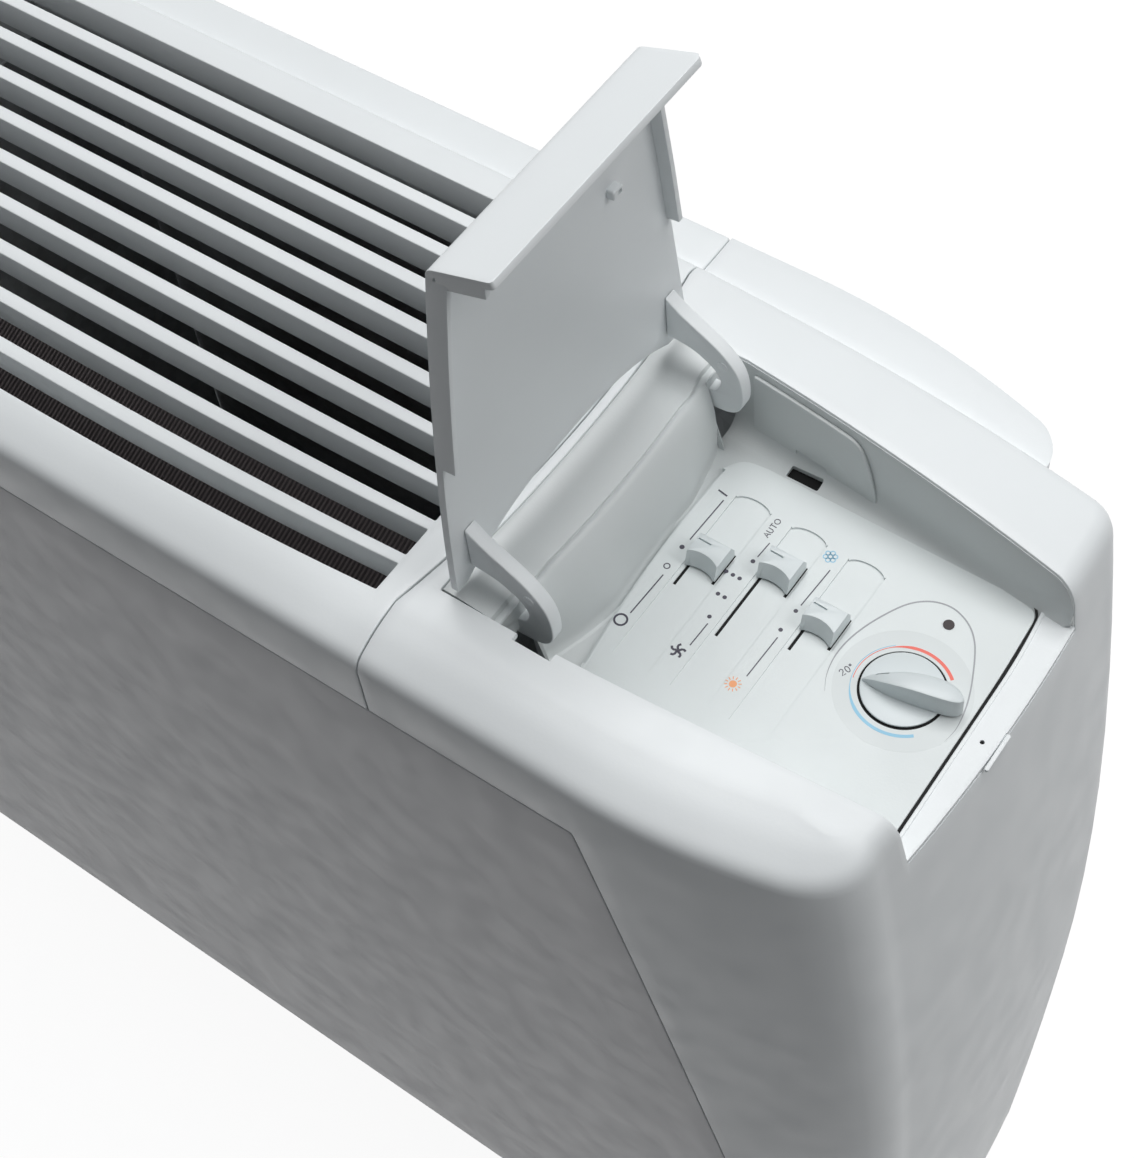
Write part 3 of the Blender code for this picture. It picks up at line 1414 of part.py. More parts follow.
def air_filter():
    """The framed filter below the cabinet and the two rails it slides in."""
    top_z = FOOT_HEIGHT - FILTER_DROP
    low_z = top_z - FILTER_THICKNESS
    rail_out = FOOT_INNER_X - CLEARANCE
    reach = rail_out - RAIL_WALL - RAIL_PLAY
    front = FOOT_FRONT_Y - FILTER_FRONT_REACH
    depth = WALL_Y - FILTER_REAR_GAP - front
    frame = empty("filter_slide", (0.0, front, low_z))
    rib = FILTER_RIB / 2
    xs = [-reach, -reach + FILTER_BORDER, -rib, rib, reach - FILTER_BORDER, reach]
    ys = [0.0, FILTER_BORDER, depth - FILTER_BORDER, depth]
    zs = [0.0, FILTER_THICKNESS]
    lattice("filter_frame", xs, ys, zs, lambda i, j, k: not (j == 1 and i in (1, 3)), dark_plastic(), frame)
    middle = FILTER_THICKNESS / 2
    for name, low_x, high_x in (("filter_mesh_left", xs[1], xs[2]), ("filter_mesh_right", xs[3], xs[4])):
        low = (low_x + CLEARANCE, ys[1] + CLEARANCE, middle - SCREEN / 2)
        high = (high_x - CLEARANCE, ys[2] - CLEARANCE, middle + SCREEN / 2)
        block(name, low, high, mesh_cloth(), frame)
    floor = low_z - RAIL_PLAY
    roof = top_z + RAIL_PLAY
    for side, name in ((1, "right"), (-1, "left")):
        outer = side * rail_out
        inner = side * (rail_out - RAIL_WALL)
        lip = side * (rail_out - RAIL_WALL - RAIL_LIP)
        outline = [
            (outer, floor - RAIL_WALL), (lip, floor - RAIL_WALL), (lip, floor), (inner, floor),
            (inner, roof), (lip, roof), (lip, roof + RAIL_WALL), (outer, roof + RAIL_WALL),
        ]
        low_y = FOOT_FRONT_Y + RAIL_FRONT_GAP
        prism(f"filter_rail_{name}", outline, low_y, WALL_Y - RAIL_REAR_GAP, galvanised(), "Y")


def rails():
    """The ledge behind the shell, in three lengths that share the shell's seams."""
    near = SEAM_X - SEAM_GAP / 2
    rear_rail("rear_rail_middle", -near, near, False)
    rear_rail("rear_rail_right", near + SEAM_GAP, LEDGE_END_X, True)
    rear_rail("rear_rail_left", -LEDGE_END_X, -near - SEAM_GAP, True)


def build():
    clear_scene()
    right_end_cap()
    end_cap("left_end_cap", -1)
    top_grille()
    front_panel()
    rails()
    control_tub()
    control_fascia()
    for number, name in enumerate(("power_slider", "speed_slider", "season_slider")):
        slider(name, number)
    dial()
    circuit_parts()
    frame = flap_frame()
    flap(frame)
    hinge_parts(frame)
    chassis()
    fans()
    coil()
    drip_tray()
    electrics()
    air_filter()
    bpy.context.view_layer.update()


build()
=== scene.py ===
"""Floor standing fan coil unit with its control flap open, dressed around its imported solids.

Sizes are in metres. +X is the end with the controls, -Y the front, +Y the wall, +Z up.
"""
import json
import math

import bmesh
import bpy
from bpy.props import FloatProperty, FloatVectorProperty, PointerProperty
from mathutils import Matrix, Vector


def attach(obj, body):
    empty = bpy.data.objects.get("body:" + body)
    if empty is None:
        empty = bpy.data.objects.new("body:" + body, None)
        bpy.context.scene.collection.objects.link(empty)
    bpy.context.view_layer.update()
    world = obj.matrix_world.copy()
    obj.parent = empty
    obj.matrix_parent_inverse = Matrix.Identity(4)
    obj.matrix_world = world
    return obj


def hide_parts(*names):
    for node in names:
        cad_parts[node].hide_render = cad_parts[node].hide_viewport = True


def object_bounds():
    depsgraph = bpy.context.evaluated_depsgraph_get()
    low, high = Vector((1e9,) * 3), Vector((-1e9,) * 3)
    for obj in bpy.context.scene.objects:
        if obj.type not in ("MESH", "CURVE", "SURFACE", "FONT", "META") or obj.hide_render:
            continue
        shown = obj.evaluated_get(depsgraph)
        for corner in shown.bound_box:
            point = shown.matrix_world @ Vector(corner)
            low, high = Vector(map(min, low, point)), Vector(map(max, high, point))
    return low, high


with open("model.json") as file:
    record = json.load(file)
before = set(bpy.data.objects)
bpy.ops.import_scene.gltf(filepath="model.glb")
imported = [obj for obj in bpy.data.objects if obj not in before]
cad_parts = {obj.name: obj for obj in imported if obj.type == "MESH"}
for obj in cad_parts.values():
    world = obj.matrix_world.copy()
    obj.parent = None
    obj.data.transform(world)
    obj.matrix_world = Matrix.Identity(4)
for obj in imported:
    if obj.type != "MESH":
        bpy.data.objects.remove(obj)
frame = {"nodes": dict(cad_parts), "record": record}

bl_info = {
    "name": "Fan coil unit",
    "version": (1, 0, 0),
    "blender": (4, 5, 0),
    "location": "View3D > Sidebar > Fan coil",
    "description": "Dresses the packed solids of a floor standing fan coil unit",
    "category": "Object",
}

NODES = frame["nodes"]
CAD_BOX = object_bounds()

# Cabinet
LENGTH = 0.783
FRONT_Y = -0.115
WALL_Y = 0.115
FOOT_HEIGHT = 0.085
CABINET_HEIGHT = 0.564
HEAD_LENGTH = 0.2105
SHELL_WALL = 0.0025
SHEET = 0.0014
SEAM_GAP = 0.0006
CLEARANCE = 0.0004
END_TUCK_TOP = 0.0305
END_TUCK_BOTTOM = 0.003
END_BULGE_HEIGHT = 0.216
FRONT_TUCK = 0.010
END_BOW = 0.0235
BOW_REACH = 0.097
CORNER_REACH = 0.024
END_CROWN = 0.006
CROWN_Y = 0.010
CROWN_REACH = 0.090
REAR_CORNER = 0.0145
REAR_SKIN_Y = 0.0945
REAR_SKIN_END_Y = 0.085
HEAD_FALL = 0.0155
HEAD_FALL_START = 0.170
HEAD_FALL_END = 0.025
HEAD_FALL_POWER = 2.2
REAR_FALL = 0.007
CREST_Y = -0.029
SEAM_BULGE = 0.009
WEDGE_INSET = 0.063
WEDGE_SLOPE = 0.26
WEDGE_CURVE = 0.165
CORNER_DEPTH = 1.15
CORNER_LEAN = 0.6
SEAM_SHADE_WIDTH = 0.010
SEAM_SHADE_INSET = 0.002
SEAM_SHADE_BEHIND = 0.0005
SEAM_SHADE_THICKNESS = 0.0008
FRONT_EDGE = ((0.0, 0.0130), (0.0008, 0.0100), (0.0030, 0.0072), (0.0070, 0.0050), (0.0140, 0.0022), (0.0240, 0.0))
END_EDGE = ((0.0, 0.0090), (0.0007, 0.0055), (0.0022, 0.0026), (0.0042, 0.0009), (0.0064, 0.0), (0.0085, 0.0))
REAR_EDGE = ((0.0, 0.0070), (0.0007, 0.0038), (0.0024, 0.0015), (0.0043, 0.0004), (0.0062, 0.0), (0.0085, 0.0))
LEDGE_DROP = 0.0135
LEDGE_HEIGHT = 0.0365
LEDGE_FALL = 0.8
LEDGE_BEND = 0.015
LEDGE_BEND_REACH = 0.115
LEDGE_CORNER = 0.012
LEDGE_INSET = 0.061

# Controls
DIAL_INSET = 0.0615
DIAL_Y = -0.009
PANEL_DROP = 0.038
MOULDING_DROP = 0.038
OPENING_START = 0.107
OPENING_END = 0.034
OPENING_FRONT_Y = -0.079
OPENING_FRONT_TAPER = 0.0155
OPENING_FRONT_POWER = 1.6
OPENING_REAR_Y = 0.061
OPENING_REAR_TAPER = 0.0158
ARM_SLOT_WIDTH = 0.0135
ARM_SLOT_REACH = 0.008
HUMP_REACH = 0.0318
HUMP_BULGE = 0.0028
SHELF_DROP = 0.0005
SHELF_THICKNESS = 0.0020
PIVOT_INSET = 0.122
PIVOT_HEIGHT = 0.026
OPEN_ANGLE = math.radians(96.7)
FLAP_SLOPE = math.radians(6.4)
FLAP_EDGE = (0.016, 0.0108)
FLAP_LENGTH = 0.142
FLAP_THICKNESS = 0.0028
FLAP_SIDE_GAP = 0.0011
LIP_LENGTH = 0.026
LIP_ROLL = 0.0035
LIP_CORNERS = (0.0014, 0.0030)
LIP_ROWS = (0.2, 0.4, 0.6, 0.75, 0.84, 0.89, 0.93, 0.96, 0.98, 0.993, 1.0)
LIP_RETURN = 0.0045
TUB_CLEARANCE = 0.0011
HINGE_ARCH = 0.0142
HINGE_ARCH_HALF = 0.060
HINGE_ARCH_SHIFT = 0.003
HINGE_ARCH_POWER = 2.6
LIP_FLARE = math.radians(12.0)
RIB_DEPTH = 0.0050
RIB_WIDTH = 0.0022
RIB_SPAN = (0.43, 0.97)

# Sliders and dial
SLIDER_PITCH = 0.0242
SLIDER_FIRST_X = -0.0840
SLIDER_WIDTH = 0.0130
SLIDER_DEPTH = 0.0130
SLIDER_HEIGHT = 0.0075
SLIDER_LEG_INSET = 0.0006
SLIDER_LEG_DEPTH = 0.0090
SLIDER_STEP = 0.0096
SLIDER_Y = (0.0088, 0.0179, 0.0076)
SLIDER_STEPS = (1, 3, 1)
SLIDER_OUTER = (SLIDER_WIDTH / 2 - SLIDER_LEG_INSET) * 1000.0
GRIP_TURN = math.radians(10.5)

# Control plate: places are in millimetres from the dial's centre
TRACK_ENDS = ((-41.0, 41.0), (-41.0, 40.0), (-41.5, 39.0))
TRACK_HALF = 7.6
TRACK_RISE = 0.00045
SCOOP_RADIUS = 12.0
SCOOP_LEAN = 0.0036
DISH_RADIUS = 0.024
DISH_RIM = 0.0004
DISH_BAND = 0.0080
LAMP_PLACE = (0.0, 31.1)
FLAKE_PLACE = (-49.0, 33.6)
SUN_PLACE = (-49.5, -29.1)
FAN_PLACE = (-72.8, -28.2)
INK = 0.09

# Air outlet
SLOT_COUNT = 10
SLOT_PITCH = 0.0179
SLOT_WIDTH = 0.0122
SLOT_FIRST_Y = -0.0960
SLOT_BOW = 0.006
SLOT_END = 0.955
SLAT_DEPTH = 0.0130
BAND_FOOT_DROP = 0.006

# Places worked out from the sizes above
HALF = LENGTH / 2
TOP_Z = FOOT_HEIGHT + CABINET_HEIGHT
SEAM_X = HALF - HEAD_LENGTH
DIAL_X = HALF - DIAL_INSET
PANEL_Z = TOP_Z - PANEL_DROP
MOULDING_Z = TOP_Z - MOULDING_DROP
BULGE_Z = FOOT_HEIGHT + END_BULGE_HEIGHT
LEDGE_Z = TOP_Z - LEDGE_DROP
LEDGE_END_X = HALF - LEDGE_INSET
OPENING_X = DIAL_X - OPENING_START
OPENING_END_X = DIAL_X + OPENING_END
SHELF_SKIN_Z = PANEL_Z - SHELF_DROP - SHELF_THICKNESS - CLEARANCE
REAR_CUT_Z = LEDGE_Z - LEDGE_HEIGHT
PIVOT = Vector((DIAL_X - PIVOT_INSET, 0.0, PANEL_Z + PIVOT_HEIGHT))
EDGE_ROWS = 14

# Merging and shading
WELD_REACH = 1e-5
SMOOTH_ANGLE = math.radians(35.0)

# Stage
FLOOR_SIZE = 12.0
FLOOR_GLOW = 0.93
WORLD_COLOUR = (0.93, 0.96, 1.0, 1.0)
WORLD_LIGHT = 0.11
LAMP_SIZE = 1.2
SIDE_LAMP_SHARE = 0.65
LAMPS = (
    ("key_lamp", (0.0, 0.42, 2.4), (0.1, 0.0, 0.5), 1.0),
    ("side_lamp", (1.7, 0.50, 2.1), (0.3, 0.0, 0.5), SIDE_LAMP_SHARE),
)
VIEW_RIGHT = (0.812955, 0.577807, -0.072413)
VIEW_DOWN = (0.449384, -0.701577, -0.553031)
VIEW_FORWARD = (-0.370348, 0.417048, -0.830008)
VIEW_FROM = (0.4830, -0.3438, 1.22822)
SENSOR_WIDTH = 36.0
FOCUS_SHARE = 2091.2 / 1158.0


# Shape of the cabinet

def end_x(z):
    """Half-length of the shell at a height."""
    if z > BULGE_Z:
        return HALF - END_TUCK_TOP * ((z - BULGE_Z) / (TOP_Z - BULGE_Z)) ** 2
    return HALF - END_TUCK_BOTTOM * ((BULGE_Z - z) / END_BULGE_HEIGHT) ** 2


def front_y(z):
    """Front face of the shell at a height."""
    below = max(0.0, MOULDING_Z - z) / (MOULDING_Z - FOOT_HEIGHT)
    return FRONT_Y + FRONT_TUCK * below ** 2


def bow(distance):
    """How far the front draws back at a distance from the end."""
    return END_BOW * max(0.0, 1.0 - distance / BOW_REACH) ** 2


def crown(y):
    """How far the end face draws in towards its corners."""
    return END_CROWN * ((y - CROWN_Y) / CROWN_REACH) ** 2


def shell_top(x, y):
    """Height of the top surface."""
    along = max(0.0, abs(x) - (HALF - HEAD_FALL_START)) / (HEAD_FALL_START - HEAD_FALL_END)
    across = max(0.0, y - CREST_Y) / (REAR_SKIN_Y - CREST_Y)
    return TOP_Z - HEAD_FALL * along ** HEAD_FALL_POWER - REAR_FALL * across ** 2


def swell(y, low, high, reach):
    """How far a seam swings out between its two ends, most in its middle."""
    share = min(1.0, max(0.0, (y - low) / (high - low)))
    return reach * (1.0 - (2.0 * share - 1.0) ** 2)


def seam_bulge(y):
    """How far the seam between outlet and head swings out."""
    return swell(y, FRONT_Y + FRONT_EDGE[-1][0], REAR_SKIN_Y - REAR_EDGE[-1][0], SEAM_BULGE)


def hump_bulge(y):
    """How far the seam beside the hinge hump swings out."""
    return swell(y, OPENING_FRONT_Y + ARM_SLOT_WIDTH, OPENING_REAR_Y - ARM_SLOT_WIDTH, HUMP_BULGE)


def opening_front(x):
    """Front edge of the opening under the flap."""
    along = max(0.0, x - OPENING_X) / (OPENING_END_X - OPENING_X)
    return OPENING_FRONT_Y + OPENING_FRONT_TAPER * along ** OPENING_FRONT_POWER


def opening_rear(x):
    """Rear edge of the opening under the flap."""
    along = max(0.0, x - OPENING_X) / (OPENING_END_X - OPENING_X)
    return OPENING_REAR_Y - OPENING_REAR_TAPER * along


def wedge_x(z):
    """Where the front panel ends and the moulded end begins."""
    below = MOULDING_Z - z
    return DIAL_X - WEDGE_INSET + WEDGE_SLOPE * below - WEDGE_CURVE * below ** 2


def bezier(a, control, b, t):
    """A point on a quadratic curve."""
    u = 1.0 - t
    return tuple(u * u * p + 2 * u * t * q + t * t * r for p, q, r in zip(a, control, b))


def curve_spot(points, n, t):
    """A point on the smooth curve through the points, a share t of the way from the nth to the next."""
    last = len(points) - 1
    p = [Vector(points[min(last, max(0, n + k))]) for k in (-1, 0, 1, 2)]
    return 0.5 * (2.0 * p[1] + (p[2] - p[0]) * t + (2.0 * p[0] - 5.0 * p[1] + 4.0 * p[2] - p[3]) * t * t
                  + (3.0 * p[1] - p[0] - 3.0 * p[2] + p[3]) * t ** 3)


def edge_profile(edge, share):
    """Inset and drop of a rounded edge, from the side at 0 up to the flat at 1, as one smooth curve."""
    place = share * (len(edge) - 1)
    n = min(len(edge) - 2, int(place))
    spot = curve_spot(edge, n, place - n)
    return max(0.0, spot.x), max(0.0, spot.y)


def edge_drop(inset, edge=FRONT_EDGE):
    """How far the top has fallen at a distance in from a rounded edge."""
    if inset >= edge[-1][0]:
        return 0.0
    low = 0.0
    high = 1.0
    for _ in range(30):
        middle = (low + high) / 2
        if edge_profile(edge, middle)[0] < inset:
            low = middle
        else:
            high = middle
    return edge_profile(edge, low)[1]


def round_off(left, corner):
    """How far an edge draws in near its rounded corner, with so much left to go."""
    return corner - math.sqrt(max(0.0, corner ** 2 - max(0.0, corner - left) ** 2))


# Modelling steps

def activate(*pieces):
    """Selects only these pieces, the first one active."""
    if bpy.context.object and bpy.context.object.mode != "OBJECT":
        bpy.ops.object.mode_set(mode="OBJECT")
    bpy.ops.object.select_all(action="DESELECT")
    for piece in pieces:
        piece.hide_set(False)
        piece.select_set(True)
    bpy.context.view_layer.objects.active = pieces[0]


def pick(piece, faces=None, edges=None):
    """Goes into edit mode with only the faces or edges selected that pass the test."""
    activate(piece)
    bpy.ops.object.mode_set(mode="EDIT")
    bpy.ops.mesh.select_mode(type="FACE" if faces else "EDGE")
    bpy.ops.mesh.select_all(action="DESELECT")
    shape = bmesh.from_edit_mesh(piece.data)
    for item in (shape.faces if faces else shape.edges):
        if (faces or edges)(item):
            item.select_set(True)
    bmesh.update_edit_mesh(piece.data)


def edit_all(piece):
    """Goes into edit mode with everything selected."""
    activate(piece)
    bpy.ops.object.mode_set(mode="EDIT")
    bpy.ops.mesh.select_all(action="SELECT")


def leave():
    """Goes back to object mode."""
    bpy.ops.object.mode_set(mode="OBJECT")


def close_up():
    """Turns all faces outwards and goes back to object mode."""
    bpy.ops.mesh.select_all(action="SELECT")
    bpy.ops.mesh.normals_make_consistent(inside=False)
    leave()


def named(name):
    """Gives the primitive just added its name."""
    piece = bpy.context.object
    piece.name = name
    piece.data.name = name
    return piece


def joined(first, *others):
    """Several pieces as one."""
    activate(first, *others)
    if others:
        bpy.ops.object.join()
    return first


def laid_grid(name, across, along, place, keep=None):
    """A grid primitive whose points are laid on a curved surface, less the cells that stay open."""
    bpy.ops.object.select_all(action="DESELECT")
    bpy.ops.mesh.primitive_grid_add(x_subdivisions=across, y_subdivisions=along, size=1.0)
    piece = named(name)

    def cell(spot):
        return (spot.x + 0.5) * across, (spot.y + 0.5) * along

    if keep:
        pick(piece, faces=lambda face: not keep(*map(int, cell(face.calc_center_median()))))
        bpy.ops.mesh.delete(type="FACE")
        leave()
    for vert in piece.data.vertices:
        vert.co = place(*map(round, cell(vert.co)))
    return piece


def weld(first, *others, outwards=(0.0, 0.0, 1.0)):
    """Joins sheets into one, merges their shared edges and turns them to face a direction."""
    edit_all(joined(first, *others))
    bpy.ops.mesh.remove_doubles(threshold=WELD_REACH)
    close_up()
    way = Vector(outwards)
    best = max(first.data.polygons, key=lambda face: abs(face.normal.dot(way)) * face.area)
    if best.normal.dot(way) < 0.0:
        edit_all(first)
        bpy.ops.mesh.flip_normals()
        leave()
    return first


def modify(piece, kind, **values):
    """Adds a modifier with its values and applies it."""
    activate(piece)
    step = piece.modifiers.new(kind.lower(), kind)
    for key, value in values.items():
        setattr(step, key, value)
    bpy.ops.object.modifier_apply(modifier=step.name)
    return piece


def thicken(piece, wall, even=True):
    """Gives a sheet its wall, drawn inwards."""
    return modify(piece, "SOLIDIFY", thickness=wall, offset=-1.0, use_even_offset=even)


def round_edges(piece, width, segments=3, angle=40.0):
    """Rounds the edges that are sharper than an angle."""
    return modify(piece, "BEVEL", width=width, segments=segments, limit_method="ANGLE",
                  angle_limit=math.radians(angle), use_clamp_overlap=True, miter_outer="MITER_ARC")


def finish(piece, body, slot, *nodes, look=None):
    """Shades, paints and mounts a finished piece, and hides the solids it stands for."""
    activate(piece)
    bpy.ops.object.shade_smooth_by_angle(angle=SMOOTH_ANGLE)
    piece.data.materials.clear()
    piece.data.materials.append(FINISHES[look or slot])
    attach(piece, body)
    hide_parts(*nodes)


def refined(node, name):
    """A merged copy of a solid."""
    source = NODES[node]
    piece = source.copy()
    piece.data = source.data.copy()
    for key in list(piece.keys()):
        if key.startswith("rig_"):
            del piece[key]
    piece.parent = None
    piece.name = name
    piece.data.name = name
    bpy.context.scene.collection.objects.link(piece)
    edit_all(piece)
    bpy.ops.mesh.remove_doubles(threshold=WELD_REACH / 10.0)
    leave()
    return piece


# Finishes

def feed(tree, node, inputs):
    """Gives a node's inputs their fixed values or another node's output."""
    for key, value in inputs.items():
        if isinstance(value, bpy.types.NodeSocket):
            tree.links.new(value, node.inputs[key])
        else:
            node.inputs[key].default_value = value


def node_out(tree, kind, output, inputs, **settings):
    """An output of a new node."""
    node = tree.nodes.new(f"ShaderNode{kind}")
    for key, value in settings.items():
        setattr(node, key, value)
    feed(tree, node, inputs)
    return node.outputs[output]


def sum_of(tree, operation, first, second):
    """Two values put together by a Math node."""
    return node_out(tree, "Math", "Value", {0: first, 1: second}, operation=operation)


def spots(tree, scale, detail, stretch=(1.0, 1.0, 1.0)):
    """Noise on the piece's own coordinates."""
    place = node_out(tree, "TexCoord", "Object", {})
    stretched = node_out(tree, "Mapping", "Vector", {"Vector": place, "Scale": stretch})
    return node_out(tree, "TexNoise", "Fac", {"Vector": stretched, "Scale": scale, "Detail": detail})


def threads(tree, way, scale):
    """Parallel bands on the piece's own coordinates."""
    place = node_out(tree, "TexCoord", "Object", {})
    return node_out(tree, "TexWave", "Fac", {"Vector": place, "Scale": scale}, bands_direction=way)


def spread(tree, value, low, high):
    """Carries the middle of a 0 to 1 value to a range."""
    ends = {"From Min": 0.3, "From Max": 0.7, "To Min": low, "To Max": high}
    return node_out(tree, "MapRange", "Result", {"Value": value, **ends})


def shades(tree, value, first, second):
    """Blends two near colours by a value."""
    ramp = tree.nodes.new("ShaderNodeValToRGB")
    for stop, place, colour in zip(ramp.color_ramp.elements, (0.35, 0.65), (first, second)):
        stop.position = place
        stop.color = (*colour, 1.0)
    feed(tree, ramp, {"Fac": value})
    return ramp.outputs["Color"]


def new_finish(name):
    """A new material and its node tree."""
    material = bpy.data.materials.new(name)
    material.use_nodes = True
    return material, material.node_tree


def coated(material, colour, deep, pattern, grain, depth, **inputs):
    """A colour that a pattern blends with its deeper shade, with a relief of a grain on it."""
    tree = material.node_tree
    deeper = tuple(value * deep for value in colour)
    normal = node_out(tree, "Bump", "Normal", {"Height": grain, "Distance": depth, "Strength": 1.0})
    blend = shades(tree, pattern, deeper, colour)
    feed(tree, tree.nodes["Principled BSDF"], {"Base Color": blend, "Normal": normal, **inputs})
    return material


def moulded(name, colour, rough, grain=900.0, depth=0.00002, shift=0.02):
    """Moulded plastic, paint or ink: a fine grain, uneven gloss and a hint of uneven colour."""
    material, tree = new_finish(name)
    gloss = spread(tree, spots(tree, 60.0, 4.0), rough - 0.05, rough + 0.05)
    broad = spots(tree, 14.0, 3.0)
    return coated(material, colour, 1.0 - shift, broad, spots(tree, grain, 2.0), depth, Roughness=gloss)


def zinc(name, colour):
    """Galvanised sheet with its spangle."""
    material, tree = new_finish(name)
    place = node_out(tree, "TexCoord", "Object", {})
    cells = node_out(tree, "TexVoronoi", "Color", {"Vector": place, "Scale": 170.0})
    gloss = spread(tree, spots(tree, 45.0, 4.0), 0.36, 0.52)
    return coated(material, colour, 0.92, cells, spots(tree, 500.0, 2.0), 0.00001, Metallic=0.9, Roughness=gloss)


def metal(name, colour, rough, stretch):
    """Plain metal with fine rolling marks."""
    material, tree = new_finish(name)
    lines = spots(tree, 120.0, 4.0, stretch)
    gloss = spread(tree, lines, rough - 0.06, rough + 0.08)
    return coated(material, colour, 0.88, lines, lines, 0.00001, Metallic=1.0, Roughness=gloss)


def finned(name, colour):
    """The face of a finned coil: fin edges in the coil's colour, with painted shade between them."""
    material, tree = new_finish(name)
    fins = threads(tree, "X", 150.0)
    return coated(material, colour, 0.35, fins, fins, 0.0006, Metallic=0.7, Roughness=0.55)


def woven(name, colour):
    """Filter cloth: two crossed sets of threads."""
    material, tree = new_finish(name)
    both = sum_of(tree, "MAXIMUM", threads(tree, "X", 260.0), threads(tree, "Y", 260.0))
    return coated(material, colour, 0.35, both, both, 0.0003, Roughness=0.85)


def looking_rays(tree):
    """1 for the rays that show the background: to the camera, in a gloss or through glass."""
    path = tree.nodes.new("ShaderNodeLightPath")
    seen = path.outputs["Is Camera Ray"]
    for way in ("Is Glossy Ray", "Is Transmission Ray"):
        seen = sum_of(tree, "MAXIMUM", seen, path.outputs[way])
    return seen


def floor_finish(name, colour):
    """A matte floor that a camera, a gloss or a glass sees as a white sweep, with the shadow left on it."""
    ground = moulded(name, colour, 0.75, 60.0, 0.0002)
    tree = ground.node_tree
    share = sum_of(tree, "MULTIPLY", looking_rays(tree), FLOOR_GLOW)
    glow = node_out(tree, "Emission", "Emission", {"Color": (1.0, 1.0, 1.0, 1.0), "Strength": share})
    both = node_out(tree, "AddShader", "Shader", {0: tree.nodes["Principled BSDF"].outputs["BSDF"], 1: glow})
    feed(tree, tree.nodes["Material Output"], {"Surface": both})
    return ground


FINISHES = {}


def make_finishes(looks):
    """One finish for each material slot and each ink: colour, roughness, grain, depth and shift of colour."""
    plastics = {
        "shell_plastic": (looks.shell_colour, 0.40),
        "panel_plastic": (looks.fascia_colour, 0.48, 1300.0, 0.00003),
        "knob_plastic": (looks.knob_colour, 0.36),
        "tub_plastic": (looks.tub_colour, 0.46, 1100.0, 0.00003),
        "dish_plastic": (tuple(0.93 * value for value in looks.fascia_colour), 0.46),
        "painted_sheet": (looks.sheet_colour, 0.46, 420.0, 0.00003, 0.015),
        "foot_plastic": (looks.sheet_colour, 0.5),
        "dark_plastic": ((0.045, 0.045, 0.05), 0.5, 700.0, 0.00004, 0.2),
        # painted shade: the near-black finish of the dark pieces put in gaps and holes
        "shade": ((0.004, 0.004, 0.004), 0.9, 700.0, 0.00002, 0.3),
        "board_green": ((0.06, 0.22, 0.11), 0.4, 300.0, 0.00005, 0.3),
        "lens_red": ((0.010, 0.002, 0.003), 0.55, 200.0, 0.000005, 0.1),
        "ink_dark": ((0.055, 0.05, 0.075), 0.5, 500.0, 0.00001, 0.2),
        "ink_grey": ((0.36, 0.37, 0.39), 0.5, 500.0, 0.00001, 0.1),
        "ink_blue": ((0.30, 0.58, 0.76), 0.5, 500.0, 0.00001, 0.1),
        "ink_orange": ((0.90, 0.38, 0.17), 0.5, 500.0, 0.00001, 0.1),
        "ink_red": ((0.86, 0.16, 0.12), 0.5, 500.0, 0.00001, 0.1),
    }
    for slot, values in plastics.items():
        FINISHES[slot] = moulded(f"{slot}_finish", *values)
    FINISHES.update(
        galvanised=zinc("galvanised_finish", (0.58, 0.60, 0.61)),
        aluminium=metal("aluminium_finish", (0.75, 0.76, 0.77), 0.34, (1.0, 8.0, 1.0)),
        copper=metal("copper_finish", (0.72, 0.42, 0.28), 0.32, (6.0, 1.0, 1.0)),
        # the coil's own brownish tone, darkened further as painted shade for its place deep under the outlet
        fins=finned("fins_finish", (0.085, 0.072, 0.072)),
        mesh_cloth=woven("filter_cloth_finish", (0.16, 0.17, 0.18)),
    )


# Head shells

HUMP_LINE = 2
DECK_LINES = (0.2335, 0.2445, 0.2555)
FRONT_MARKS = [("x", x) for x in (SEAM_X + SEAM_GAP / 2, SEAM_X + 0.005, OPENING_X - HUMP_REACH,
                                  OPENING_X - ARM_SLOT_REACH, OPENING_X, *DECK_LINES)]
FIRST_SPAN = len(FRONT_MARKS)
CORNER_COLUMNS = 10
FRONT_MARKS += [("s", n / 8) for n in range(9)]
FRONT_MARKS += [("c", n / CORNER_COLUMNS) for n in range(1, CORNER_COLUMNS + 1)]
STRIP_FRONT = 4
STRIP_REAR = 6
HUMP_CELLS = 12
MIDDLE = HUMP_CELLS + 2
END_MARKS = [("a", n / STRIP_FRONT) for n in range(1, STRIP_FRONT + 1)]
END_MARKS += [("m", n) for n in range(1, MIDDLE)]
END_MARKS += [("b", n / STRIP_REAR) for n in range(STRIP_REAR)]
FRONTS = len(FRONT_MARKS)
ENDS = len(END_MARKS)
ROUND = 2 * FRONTS + ENDS
LEVEL_STEPS = (0.0, 0.045, 0.090, 0.135, 0.175, 0.216, 0.255, 0.295, 0.335, 0.375, 0.415, 0.455, 0.485)
LEVELS = [FOOT_HEIGHT + step for step in LEVEL_STEPS] + [REAR_CUT_Z, SHELF_SKIN_Z, MOULDING_Z]


def middle_share(n):
    """Where a middle line lies between the opening's two edges: slot, hump cells, slot."""
    slot = ARM_SLOT_WIDTH / (OPENING_REAR_Y - OPENING_FRONT_Y)
    if n == 0:
        return 0.0
    if n == MIDDLE:
        return 1.0
    return slot + (1.0 - 2.0 * slot) * (n - 1) / HUMP_CELLS


